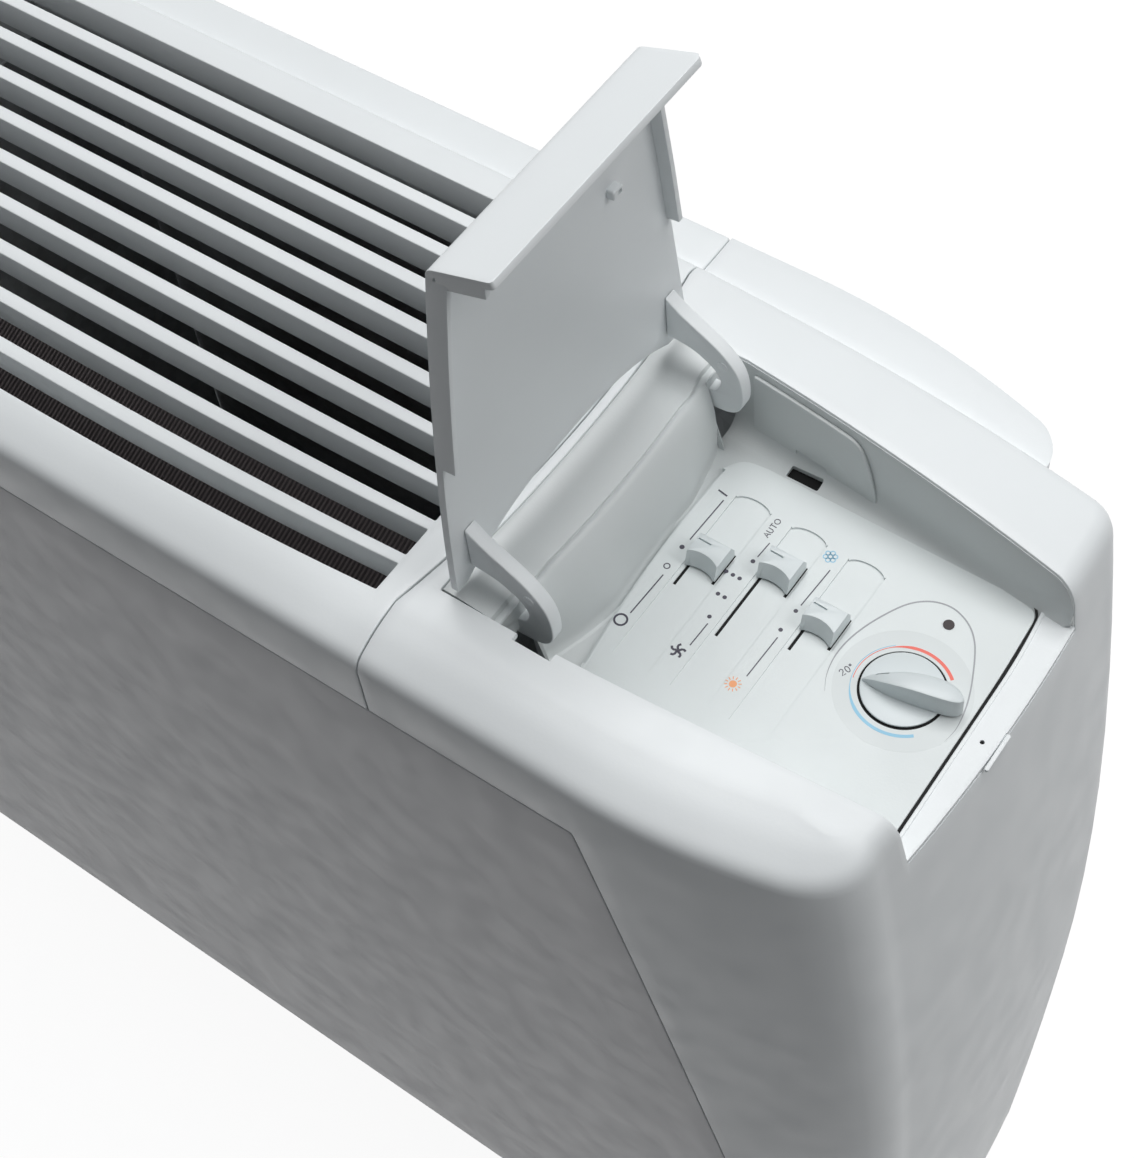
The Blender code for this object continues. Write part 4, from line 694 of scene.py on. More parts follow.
def corner_frame(z):
    """The plan points that the two rounded corners of the end hang on."""
    reach = end_x(z)
    start = (reach - CORNER_REACH, front_y(z) + bow(CORNER_REACH))
    slope = 2 * END_BOW / BOW_REACH * (1.0 - CORNER_REACH / BOW_REACH)
    low = start[1] + CORNER_REACH * CORNER_DEPTH
    stop = (reach - crown(low), low)
    turn = (reach - CORNER_LEAN * crown(low), start[1] + slope * CORNER_REACH)
    high = REAR_SKIN_END_Y - REAR_CORNER
    rear = (reach - crown(high), high)
    rear_turn = (reach - crown(high), REAR_SKIN_END_Y)
    rear_end = (reach - REAR_CORNER, REAR_SKIN_END_Y)
    return reach, start, turn, stop, rear_end, rear_turn, rear


def end_y(column, x, z):
    """Where a column of the end face lies, between its corners and the opening's two edges."""
    kind, value = END_MARKS[column - FRONTS]
    a = opening_front(x)
    b = opening_rear(x)
    if kind == "a":
        low = corner_frame(z)[3][1]
        return low + (a - low) * value
    if kind == "m":
        return a + (b - a) * middle_share(value)
    return b + (REAR_SKIN_END_Y - REAR_CORNER - b) * value


def plan(column, z):
    """A point of the shell's outline at a height, from the front seam round to the rear seam."""
    reach, start, turn, stop, rear_end, rear_turn, rear = corner_frame(z)
    first = wedge_x(min(z, MOULDING_Z)) + SEAM_GAP / 2
    if column < FRONTS:
        kind, value = FRONT_MARKS[column]
        if kind == "c":
            return bezier(start, turn, stop, value)
        x = value if kind == "x" else first + (start[0] - first) * value
        return x, front_y(z) + bow(reach - x)
    if column < FRONTS + ENDS:
        y = end_y(column, reach, z)
        return reach - crown(y), y
    kind, value = FRONT_MARKS[ROUND - 1 - column]
    if kind == "c":
        return bezier(rear_end, rear_turn, rear, value)
    first = wedge_x(MOULDING_Z) + SEAM_GAP / 2
    x = value if kind == "x" else first + (rear_end[0] - first) * value
    share = (x - SEAM_X) / (rear_end[0] - SEAM_X)
    return x, REAR_SKIN_Y + (REAR_SKIN_END_Y - REAR_SKIN_Y) * share


def edge_shares(column):
    """How much a column follows the front, end and rear edge shapes."""
    if FRONTS <= column < FRONTS + ENDS:
        return 0.0, 1.0, 0.0
    front = column < FRONTS
    kind, value = FRONT_MARKS[column if front else ROUND - 1 - column]
    turned = value if kind == "c" else 0.0
    return (1.0 - turned, turned, 0.0) if front else (0.0, turned, 1.0 - turned)


def skin_spot(column, share):
    """A point of the rounded edge of the shell."""
    inset = 0.0
    drop = 0.0
    for part, edge in zip(edge_shares(column), (FRONT_EDGE, END_EDGE, REAR_EDGE)):
        pair = edge_profile(edge, share)
        inset += part * pair[0]
        drop += part * pair[1]
    z = PANEL_Z + 0.020
    for _ in range(4):
        x, y = plan(column, z)
        z = shell_top(x, y) - drop
    before = plan(max(column - 1, 0), z)
    after = plan(min(column + 1, ROUND - 1), z)
    along = Vector((after[0] - before[0], after[1] - before[1])).normalized()
    inward = Vector((-along.y, along.x))
    if column in (0, ROUND - 1):
        inward = Vector((0.0, inward.y)).normalized()
    spot = Vector((x, y)) + inward * inset
    if FRONTS <= column < FRONTS + ENDS:
        spot.y = end_y(column, spot.x, z)
    return Vector((spot.x, spot.y, shell_top(spot.x, spot.y) - drop))


def wall_spot(column, row):
    """A point of the shell's side wall and rounded edge."""
    if row < len(LEVELS):
        z = LEVELS[row]
        x, y = plan(column, z)
        return Vector((x, y, z))
    return skin_spot(column, (row - len(LEVELS)) / EDGE_ROWS)


def deck_line(station):
    """Front edge, front strip, rear strip and rear edge of the deck at one station."""
    front = skin_spot(station, 1.0)
    rear = skin_spot(ROUND - 1 - station, 1.0)
    kind, value = FRONT_MARKS[station]
    if kind == "x":
        xs = (value, value)
    elif kind == "s":
        xs = (front.x, rear.x)
    else:
        low = FRONTS - 1 - CORNER_COLUMNS
        a = deck_line(low)
        b = skin_spot(FRONTS + STRIP_FRONT - 1, 1.0).x
        c = skin_spot(FRONTS + ENDS - STRIP_REAR, 1.0).x
        xs = (a[1].x + (b - a[1].x) * value, a[2].x + (c - a[2].x) * value * 0.75)
    near = Vector((xs[0], opening_front(xs[0]), 0.0))
    far = Vector((xs[1], opening_rear(xs[1]), 0.0))
    return front, near, far, rear


DECK_ROWS = STRIP_FRONT + MIDDLE + STRIP_REAR


def deck_spots(opened):
    """All the points of the deck, station by station."""
    lines = []
    for station in range(FRONTS):
        if station == FRONTS - 1:
            columns = range(FRONTS - 1, FRONTS + ENDS + 1)
            lines.append([skin_spot(column, 1.0) for column in columns])
            continue
        front, near, far, rear = deck_line(station)
        line = [front.lerp(near, n / STRIP_FRONT) for n in range(STRIP_FRONT)]
        for n in range(MIDDLE + 1):
            spot = near.lerp(far, middle_share(n))
            if opened:
                bulges = (seam_bulge(spot.y), (seam_bulge(spot.y) + hump_bulge(spot.y)) / 2, hump_bulge(spot.y))
                swing = bulges[station] if station <= HUMP_LINE else 0.0
                if n in (0, MIDDLE) and station > 0:
                    swing *= 0.5
            else:
                swing = seam_bulge(spot.y) * max(0.0, 1.0 - (spot.x - SEAM_X) / (OPENING_X - SEAM_X))
            spot.x += swing
            line.append(spot)
        line += [far.lerp(rear, n / STRIP_REAR) for n in range(1, STRIP_REAR + 1)]
        if station == 0:
            for spot in line[1:STRIP_FRONT] + line[STRIP_FRONT + MIDDLE + 1:-1]:
                spot.x += seam_bulge(spot.y)
        lines.append([Vector((spot.x, spot.y, shell_top(spot.x, spot.y))) for spot in line])
    return lines


ARM_HOLE = (-107.0, -73.0, -91.5, -69.0)
DECK_HOLES = ((-141.7, -11.0, -140.5, -3.4), (-141.7, 3.0, -140.5, 10.6), ARM_HOLE)


def head_shell(name, side, opened):
    """A moulded end as one thin shell: deck, rounded edges, end face and front corner."""
    rows = len(LEVELS) + EDGE_ROWS
    notch = range(FRONTS + STRIP_FRONT - 1, FRONTS + ENDS - STRIP_REAR)
    shelf_row = LEVELS.index(SHELF_SKIN_Z)
    moulding_row = LEVELS.index(MOULDING_Z)
    rear_row = LEVELS.index(REAR_CUT_Z)

    def wall_kept(column, row):
        if column < FIRST_SPAN:
            return row >= moulding_row
        if column >= ROUND - 1 - (FRONTS - CORNER_COLUMNS - 2):
            return row >= rear_row
        if opened and column in notch:
            return row < shelf_row
        return True

    def deck_kept(station, row):
        if not opened:
            return True
        part = row - STRIP_FRONT
        if part < 0 or part >= MIDDLE:
            return True
        return station < HUMP_LINE

    widest = CAD_BOX[1][0]

    def mirrored(spot):
        return Vector((min(spot.x, widest) * side, spot.y, spot.z))

    walls = laid_grid(name, ROUND - 1, rows, lambda i, j: mirrored(wall_spot(i, j)), wall_kept)
    spots_of = deck_spots(opened)
    deck = laid_grid(f"{name}_deck", FRONTS - 1, DECK_ROWS, lambda i, j: mirrored(spots_of[i][j]), deck_kept)
    shell = weld(walls, deck)
    thicken(shell, SHELL_WALL, False)
    round_edges(shell, 0.0006, 2, 50.0)
    if opened:
        for corners in DECK_HOLES:
            cut_out(shell, plate_of(f"{name}_tool", rounded(box(*corners), 0.3), 20.0, 45.0))
    return shell


# Outlet, panel and ledges

def outlet(name):
    """The outlet moulding with its rounded front band and ten bowed slots."""
    ins = [edge_profile(FRONT_EDGE, n / EDGE_ROWS)[0] for n in range(EDGE_ROWS + 1)]
    rows = [("side", 0.0)] + [("front", value) for value in ins if FRONT_Y + value < SLOT_FIRST_Y - 0.001]
    first = len(rows)
    for n in range(SLOT_COUNT):
        rows += [("slot", (n, 0.0)), ("slot", (n, SLOT_WIDTH))]
    last = len(rows) - 1
    rows += [("rear", n / 8) for n in range(8, -1, -1)] + [("foot", 0.0)]
    tail = [SLOT_END + (1.0 - SLOT_END) * n / 4 for n in range(5)]
    body = [SLOT_END * (2.0 * n / 52 - 1.0) for n in range(53)]
    shares = [-value for value in tail[:0:-1]] + body + tail[1:]
    span = SEAM_X - SEAM_GAP / 2

    def place(i, j):
        share = shares[i]
        kind, value = rows[j]
        drop = 0.0
        if kind == "side":
            y = FRONT_Y
        elif kind == "front":
            y = FRONT_Y + value
            drop = edge_drop(value)
        elif kind == "slot":
            bend = SLOT_BOW * max(0.0, 1.0 - value[0] / 4.0) * abs(share) ** 2.5
            y = SLOT_FIRST_Y + value[0] * SLOT_PITCH + value[1] + bend
            drop = edge_drop(y - FRONT_Y)
        elif kind == "rear":
            inset, drop = edge_profile(REAR_EDGE, value)
            y = REAR_SKIN_Y - inset
        else:
            y = REAR_SKIN_Y
        weight = max(0.0, (abs(share) - SLOT_END) / (1.0 - SLOT_END))
        x = share * span + math.copysign(seam_bulge(y) * weight, share)
        if kind == "side":
            return Vector((x, y, MOULDING_Z))
        if kind == "foot":
            return Vector((x, y, LEDGE_Z - BAND_FOOT_DROP))
        return Vector((x, y, shell_top(0.0, y) - drop))

    def keep(i, j):
        slot = first <= j < last and (j - first) % 2 == 0
        ends = len(tail) - 1
        return not (slot and ends <= i < len(shares) - 1 - ends)

    piece = weld(laid_grid(name, len(shares) - 1, len(rows) - 1, place, keep))
    group = piece.vertex_groups.new(name="deep")
    thin = SHELL_WALL / SLAT_DEPTH
    for vert in piece.data.vertices:
        deep = SLOT_FIRST_Y - 0.003 < vert.co.y < SLOT_FIRST_Y + (SLOT_COUNT - 1) * SLOT_PITCH + SLOT_WIDTH + 0.003
        group.add([vert.index], 1.0 if deep else thin, "REPLACE")
    modify(piece, "SOLIDIFY", thickness=SLAT_DEPTH, offset=-1.0, use_even_offset=False, vertex_group="deep",
           thickness_vertex_group=0.0)
    return round_edges(piece, 0.0011, 3, 50.0)


def front_panel(name):
    """The sheet front between the two moulded ends."""
    columns = 64
    levels = 24
    high_z = MOULDING_Z - SEAM_GAP

    def place(i, j):
        z = FOOT_HEIGHT + (high_z - FOOT_HEIGHT) * j / levels
        reach = wedge_x(z) - SEAM_GAP / 2
        x = reach * (2.0 * i / columns - 1.0)
        return Vector((x, front_y(z) + bow(end_x(z) - abs(x)), z))

    piece = weld(laid_grid(name, columns, levels, place), outwards=(0.0, -1.0, 0.0))
    thicken(piece, SHEET)
    return round_edges(piece, 0.0005, 3, 50.0)


def seam_shade_strips(name):
    """The dark strips behind the slanted seams of the front: painted shade that keeps the seam gaps dark."""
    levels = 24
    low_z = FOOT_HEIGHT + SEAM_SHADE_INSET

    def strip(side):
        def place(i, j):
            z = low_z + (MOULDING_Z - SEAM_SHADE_INSET - low_z) * j / levels
            x = wedge_x(z) + SEAM_SHADE_WIDTH / 2 * (i - 1)
            return Vector((side * x, front_y(z) + bow(end_x(z) - x) + SHELL_WALL + SEAM_SHADE_BEHIND, z))

        sheet = laid_grid(f"{name}_{side + 1}", 2, levels, place)
        return thicken(weld(sheet, outwards=(0.0, -1.0, 0.0)), SEAM_SHADE_THICKNESS)

    return joined(strip(-1), strip(1))


def ledge(name, low_x, high_x, round_end):
    """A stretch of the ledge behind the shell."""
    side = 1.0 if high_x > 0 else -1.0
    count = 48
    tip = high_x if side > 0 else low_x

    def station(n):
        if not round_end:
            return low_x + (high_x - low_x) * n / count
        share = n / count if side > 0 else 1.0 - n / count
        near = low_x if side > 0 else high_x
        return near + (tip - near) * math.sin(math.pi / 2 * share)

    def inner_y(x):
        end = end_x(LEDGE_Z) - REAR_CORNER
        share = min(1.0, max(0.0, (abs(x) - SEAM_X) / (end - SEAM_X)))
        return REAR_SKIN_Y + (REAR_SKIN_END_Y - REAR_SKIN_Y) * share + CLEARANCE

    def outer_y(x):
        if not round_end:
            return WALL_Y
        away = abs(tip) - abs(x)
        bent = LEDGE_BEND * max(0.0, 1.0 - away / LEDGE_BEND_REACH) ** 2
        corner_in = LEDGE_CORNER - math.sqrt(max(0.0, LEDGE_CORNER ** 2 - max(0.0, LEDGE_CORNER - away) ** 2))
        return WALL_Y - bent - corner_in

    def place(i, j):
        x = station(i)
        y = inner_y(x) + (outer_y(x) - inner_y(x)) * j / 4
        return Vector((x, y, LEDGE_Z - LEDGE_FALL * (TOP_Z - shell_top(x, CREST_Y))))

    piece = weld(laid_grid(name, count, 4, place))
    modify(piece, "SOLIDIFY", thickness=LEDGE_HEIGHT - 0.0002, offset=-1.0, use_even_offset=False)
    return round_edges(piece, 0.0012, 3, 50.0)


# Flap

FLAP_ALONG = Vector((math.cos(FLAP_SLOPE), -math.sin(FLAP_SLOPE)))
FLAP_DOWN = Vector((-math.sin(FLAP_SLOPE), -math.cos(FLAP_SLOPE)))


def flap_profile(depth):
    """The flap's section, closed, at a depth under its outer face."""
    hang = Vector((math.sin(LIP_FLARE), -math.cos(LIP_FLARE)))
    back = Vector((-math.cos(LIP_FLARE), -math.sin(LIP_FLARE)))
    edge = Vector(FLAP_EDGE)
    far = edge + FLAP_ALONG * FLAP_LENGTH
    miter = (FLAP_DOWN + back) / (1.0 + FLAP_DOWN.dot(back))
    return edge + FLAP_DOWN * depth, far + miter * depth, far + hang * LIP_LENGTH + back * depth


def opened(x, y, z):
    """A point drawn on the closed flap, turned to the open flap."""
    c = math.cos(OPEN_ANGLE)
    s = math.sin(OPEN_ANGLE)
    return Vector((PIVOT.x + x * c - z * s, y, PIVOT.z + x * s + z * c))


def hinge_edge(y):
    """How far the flap's hinge edge is cut back in its middle."""
    away = abs(y - DIAL_Y + HINGE_ARCH_SHIFT) / HINGE_ARCH_HALF
    return HINGE_ARCH * max(0.0, 1.0 - away ** HINGE_ARCH_POWER)


def cover(name):
    """The tapered cover: plate, rolled corner and lip, with a rib along each side."""
    edge, far, lip = flap_profile(0.0)
    plate = 20
    start = far + (edge - far).normalized() * LIP_ROLL
    stop = far + (lip - far).normalized() * LIP_ROLL
    bend = [Vector(bezier(start, far, stop, n / 6)) for n in range(1, 7)]
    tail = [stop.lerp(lip, share) for share in LIP_ROWS]
    columns = plate + len(bend) + len(tail)
    edges = 40

    def place(i, j):
        x = PIVOT.x + edge.lerp(far, min(1.0, i / plate)).x
        front = opening_front(x) + FLAP_SIDE_GAP
        rear = opening_rear(x) - FLAP_SIDE_GAP - TUB_CLEARANCE * min(1.0, max(0.0, (i - 13) / (plate - 13)))
        if i > plate + len(bend):
            left = (lip - tail[i - plate - len(bend) - 1]).length
            front += round_off(left, LIP_CORNERS[0])
            rear -= round_off(left, LIP_CORNERS[1])
        if j < 2:
            y = front + RIB_WIDTH * j
        elif j > edges - 2:
            y = rear - RIB_WIDTH * (edges - j)
        else:
            y = front + RIB_WIDTH + (rear - front - 2 * RIB_WIDTH) * (j - 1) / (edges - 2)
        if i <= plate:
            begin = edge + (far - edge).normalized() * hinge_edge(y)
            spot = begin.lerp(start, i / plate)
        else:
            spot = (bend + tail)[i - plate - 1]
        return opened(spot.x, y, spot.y)

    piece = weld(laid_grid(name, columns, edges, place), outwards=(-1.0, 0.0, 0.0))
    thicken(piece, FLAP_THICKNESS)
    inner_way = (opened(0.0, 0.0, -1.0) - opened(0.0, 0.0, 0.0)).normalized()
    along = (opened(math.cos(FLAP_SLOPE), 0.0, -math.sin(FLAP_SLOPE)) - opened(0.0, 0.0, 0.0)).normalized()
    base = opened(edge.x, 0.0, edge.y)

    def near_side(spot, reach):
        x = PIVOT.x + edge.lerp(far, min(1.0, reach)).x
        return min(spot.y - opening_front(x), opening_rear(x) - spot.y) < RIB_WIDTH + FLAP_SIDE_GAP

    def on_rib(face):
        spot = face.calc_center_median()
        reach = (spot - base).dot(along) / FLAP_LENGTH
        return face.normal.dot(inner_way) > 0.9 and RIB_SPAN[0] < reach < RIB_SPAN[1] and near_side(spot, reach)

    def on_return(face):
        spot = face.calc_center_median()
        return face.normal.z < -0.9 and spot.z > base.z + 0.1 and near_side(spot, 1.0) and spot.x < base.x + 0.021

    pick(piece, faces=on_rib)
    bpy.ops.mesh.extrude_region_move(TRANSFORM_OT_translate={"value": inner_way * RIB_DEPTH})
    leave()
    pick(piece, faces=on_return)
    bpy.ops.mesh.extrude_region_move(TRANSFORM_OT_translate={"value": (0.0, 0.0, -LIP_RETURN)})
    leave()
    return round_edges(piece, 0.0006, 3, 40.0)


ARM_OUTER = [(41.5, 4.9), (35.6, -1.0), (30.4, -7.8), (25.4, -14.2), (20.0, -19.0), (13.6, -22.2), (5.6, -23.0),
             (-2.6, -21.4), (-7.2, -16.4), (-7.4, -7.0), (-5.6, 0.0)]
ARM_INNER = [(5.4, 0.6), (2.0, -6.6), (2.6, -11.2), (8.0, -13.8), (13.1, -11.9), (16.8, -8.0), (20.0, -2.5),
             (22.3, 7.0)]
ARM_PLACE = 58.2
ARM_THICKNESS = 5.5
CATCH_PLACE = (101.0, 30.7)


def arm(name, side):
    """A gooseneck arm between its pivot and its pad on the flap, with the round boss on its face."""
    middle = side * ARM_PLACE
    eye = arc_of(0.0, 0.0, 5.6, 176.0, 6.0, 10)[1:-1]
    ring = smooth_line(ARM_OUTER, 5) + eye + smooth_line(ARM_INNER, 5)

    def put(x, z, y):
        return opened(x / 1000.0, DIAL_Y + y / 1000.0, z / 1000.0)

    low = middle - ARM_THICKNESS / 2
    piece = plate_of(name, ring, low, low + ARM_THICKNESS, put)
    round_edges(piece, 0.0008, 3, 40.0)
    cut_out(piece, plate_of(f"{name}_tool", circle(0.0, 0.0, 2.5), low - 2.0, low + 8.0, put))
    boss = plate_of(f"{name}_boss", circle(17.0, -16.0, 2.1), low - 0.45, low + 0.5, put)
    round_edges(boss, 0.0003, 2, 40.0)
    return joined(piece, boss)


def catch(name):
    """The small hook on the flap's inner face that holds it shut."""
    ring = rounded(box(-2.6, -1.9, 2.6, 1.9), 1.0)

    def put(a, b, h):
        spot = Vector(FLAP_EDGE) * 1000.0 + FLAP_ALONG * (CATCH_PLACE[0] + b)
        spot += FLAP_DOWN * (FLAP_THICKNESS * 1000.0 + h)
        return opened(spot.x / 1000.0, DIAL_Y + (CATCH_PLACE[1] + a) / 1000.0, spot.y / 1000.0)

    piece = plate_of(name, ring, -0.3, 3.0, put)
    round_edges(piece, 0.0006, 3, 40.0)
    hole = rounded(box(-0.2, -0.9, 1.7, 0.9), 0.5)
    return cut_out(piece, plate_of(f"{name}_tool", hole, 1.2, 5.0, put))


# Controls, placed in millimetres from the dial's centre on the control plate

WALL_GAP = 0.0012
FLOOR_DROP = 0.0029


def from_dial(x, y, z=0.0):
    """A point given in millimetres from the dial's centre."""
    return Vector((DIAL_X + x / 1000.0, DIAL_Y + y / 1000.0, PANEL_Z + z / 1000.0))


def arc_of(x, y, radius, start, stop, count):
    """Points of an arc round a centre, in degrees, both ends included."""
    turns = [math.radians(start + (stop - start) * n / count) for n in range(count + 1)]
    return [(x + radius * math.cos(t), y + radius * math.sin(t)) for t in turns]


def circle(x, y, radius, count=24):
    """Points right round a centre, the first one not repeated."""
    return arc_of(x, y, radius, 0.0, 360.0 - 360.0 / count, count - 1)


def ring_of(x, y, radius, count):
    """A closed line round a centre."""
    return arc_of(x, y, radius, 0.0, 360.0, count)


def box(low_x, low_y, high_x, high_y):
    """The four corners of an upright rectangle."""
    return [(low_x, low_y), (high_x, low_y), (high_x, high_y), (low_x, high_y)]


def turned(points, angle, x=0.0, y=0.0):
    """Points turned by an angle and carried to a place."""
    c = math.cos(angle)
    s = math.sin(angle)
    return [(x + a * c - b * s, y + a * s + b * c) for a, b in points]


def rounded(corners, radius, steps=5):
    """The corners of an outline rounded off; a corner may carry its own radius."""
    ring = []
    count = len(corners)
    for n, corner in enumerate(corners):
        here = Vector(corner[:2])
        before = Vector(corners[n - 1][:2]) - here
        after = Vector(corners[(n + 1) % count][:2]) - here
        size = corner[2] if len(corner) > 2 else radius
        size = min(size, before.length * 0.49, after.length * 0.49)
        if size < 1e-6:
            ring.append(tuple(here))
            continue
        a = here + before.normalized() * size
        b = here + after.normalized() * size
        ring += [bezier(a, here, b, t / steps) for t in range(steps + 1)]
    return ring


def plate_of(name, ring, low, high, put=from_dial):
    """A filled circle primitive laid on an outline and drawn out to its thickness."""
    bpy.ops.object.select_all(action="DESELECT")
    bpy.ops.mesh.primitive_circle_add(vertices=len(ring), radius=0.01, fill_type="NGON")
    piece = named(name)
    for vert, spot in zip(piece.data.vertices, ring):
        vert.co = put(*spot, low)
    rise = put(*ring[0], high) - put(*ring[0], low)
    pick(piece, faces=lambda face: True)
    bpy.ops.mesh.extrude_region_move(TRANSFORM_OT_translate={"value": rise})
    close_up()
    return piece


def cut_out(piece, *tools):
    """Takes the tools away from a piece."""
    for tool in tools:
        modify(piece, "BOOLEAN", object=tool, operation="DIFFERENCE", solver="EXACT")
        bpy.data.objects.remove(tool, do_unlink=True)
    return piece


def tray(name):
    """The tub's floor and side walls in one bent sheet, with rounded feet."""
    columns = 60
    low_x = OPENING_X - 0.0045
    floor_z = PANEL_Z - FLOOR_DROP

    def top_at(x, y):
        z = shell_top(x, y)
        return z - edge_drop(end_x(z) - crown(y) - x, END_EDGE) - WALL_GAP

    def line_at(x):
        front = opening_front(x) + CLEARANCE
        rear = opening_rear(x) - CLEARANCE
        tops = (top_at(x, front), top_at(x, rear))
        line = [(front, tops[0]), (front, (tops[0] + floor_z) / 2)]
        feet = ((front, floor_z + 0.004), (front, floor_z), (front + 0.004, floor_z))
        line += [bezier(*feet, t / 5) for t in range(6)] + [((front + rear) / 2, floor_z)]
        feet = ((rear - 0.008, floor_z), (rear, floor_z), (rear, floor_z + 0.011))
        line += [bezier(*feet, t / 8) for t in range(9)]
        return line + [(rear, (tops[1] + floor_z) / 2), (rear, tops[1])]

    def place(i, j):
        x = low_x + (end_x(PANEL_Z) - low_x) * i / columns
        for _ in range(3):
            y, z = line_at(x)[j]
            inside = 0.0006 if z > PANEL_Z + 0.001 else SHELL_WALL + 0.0008
            reach = end_x(z) - inside - crown(y)
            x = low_x + (reach - low_x) * i / columns
        y, z = line_at(x)[j]
        return Vector((x, y, z))

    piece = weld(laid_grid(name, columns, 19, place))
    thicken(piece, 0.0018)
    round_edges(piece, 0.0004, 2, 50.0)
    arm_way = [(-116.0, -75.0), (ARM_HOLE[2], -75.0), (ARM_HOLE[2], -61.6), (-99.0, -56.5), (-116.0, -56.5)]
    for ring, high in ((arm_way, 45.0), (box(-82.4, 57.2, -69.0, 62.2), 1.5)):
        cut_out(piece, plate_of(f"{name}_tool", rounded(ring, 0.8), -8.0, high))
    return piece


def plate_edge(y):
    """The control plate's edge beside the hump."""
    return -98.0 - 5.0 * (1.0 - ((y - 25.0) / 75.0) ** 2)


def hump_line(y):
    """The hump's section at a place along it, from the seam down to its foot."""
    middle = max(0.0, 1.0 - ((y - 1.0) / 57.0) ** 2)
    seam = -138.6 + 2.6 * middle
    crease = -116.6 + 4.0 * middle
    foot = min(plate_edge(y) - 1.2, -101.3 - 7.2 * ((y + 8.0) / (41.0 if y < -8.0 else 58.0)) ** 2)
    dent = 1.9 * math.exp(-((abs(y) - 47.0) / 5.5) ** 2)
    away = max(0.0, abs(y) - 48.0) / 7.0
    fall = 0.9 * min(1.0, away) ** 2
    slope = crease + 1.6
    return [
        (seam, -1.6), (seam + 0.15, -0.75), (seam + 0.6, -0.5), (seam + 2.0, -0.55 - dent * 0.1),
        (seam + (crease - seam) * 0.4, -1.0 - dent * 0.8), (seam + (crease - seam) * 0.7, -1.8 - dent),
        (crease - 2.4, -2.6 - dent), (crease - 1.9, -2.8 - dent - fall), (crease - 1.7, -3.5 - dent - fall),
        (crease - 1.2, -3.55 - dent - fall), (crease - 0.9, -2.9 - dent - fall), (crease, -2.8 - dent - fall),
        (crease + 0.7, -3.1 - dent - fall), (slope, -4.2 - dent - fall),
        (slope + (foot - slope) * 0.38, -9.5 - fall), (slope + (foot - slope) * 0.68, -18.0),
        (slope + (foot - slope) * 0.88, -29.0), (foot - 0.9, -36.5), (foot - 0.1, -39.4), (foot + 1.0, -40.6),
        (foot + 2.2, -40.9),
    ]


HUMP_END = 54.8
HUMP_SIDES = (69.2, 69.2, 68.6, 66.0, 62.0, 58.0, 55.6, 55.0)
HUMP_LIMIT = -114.0


def hump(name):
    """The swelling that carries the flap's hinges: a top, a raised crease and a curved wall."""
    inner = 46
    rows = [-y for y in HUMP_SIDES]
    rows += [HUMP_END * -math.cos(math.pi * n / inner) for n in range(inner + 1)]
    rows += list(HUMP_SIDES[::-1])
    count = len(hump_line(0.0))

    def place(i, j):
        y = rows[i]
        x, drop = hump_line(y)[j]
        if abs(y) > HUMP_END:
            over = max(0.0, x - (HUMP_LIMIT - 1.2))
            x = min(x, HUMP_LIMIT - 1.2 * math.exp(-over / 1.2))
            drop = max(drop, -0.5 * over - 3.4) if over else drop
            if j > 13:
                drop = -5.0 - 1.4 * (j - 13)
        if i in (0, len(rows) - 1):
            drop = min(drop, -8.0)
        top = (shell_top(DIAL_X + x / 1000, DIAL_Y + y / 1000) - PANEL_Z) * 1000
        return from_dial(x, y, max(-FLOOR_DROP * 1000 + 0.02, top + drop))

    piece = weld(laid_grid(name, len(rows) - 1, count - 1, place))
    return thicken(piece, 0.0016, False)


def wall_pad(name):
    """The forward part of the rear wall, with its rounded shoulder and the slot at its foot."""

    def put(x, z, deep):
        y = (opening_rear(DIAL_X + x / 1000) - DIAL_Y) * 1000.0 - CLEARANCE * 1000.0 - deep
        return from_dial(x, y, z)

    def fall(x):
        return (shell_top(DIAL_X + x / 1000, OPENING_REAR_Y) - PANEL_Z) * 1000.0 - 4.4

    ring = [(-103.0, fall(-103.0)), (-103.0, -1.8), (-46.5, -1.8), (-48.0, 6.0), (-51.0, 17.0)]
    ring += [(-56.0, fall(-56.0), 5.0), (-72.0, fall(-72.0)), (-88.0, fall(-88.0))]
    ring = rounded(ring, 1.0)
    pad = plate_of(name, ring, 0.05, 1.6, put)
    round_edges(pad, 0.0007, 3, 40.0)
    slot = rounded([(-83.0, -2.3), (-69.5, -2.3), (-69.0, 3.2, 1.5), (-83.0, 3.2)], 0.4)
    cut_out(pad, plate_of(f"{name}_slot_tool", slot, -0.5, 4.0, put))
    return pad


SHELF_BEAD = ((26.3, -3.0), (26.3, -0.35), (26.55, -0.1), (27.1, -0.05), (27.6, -0.12), (27.85, -0.45),
              (28.4, -0.5))


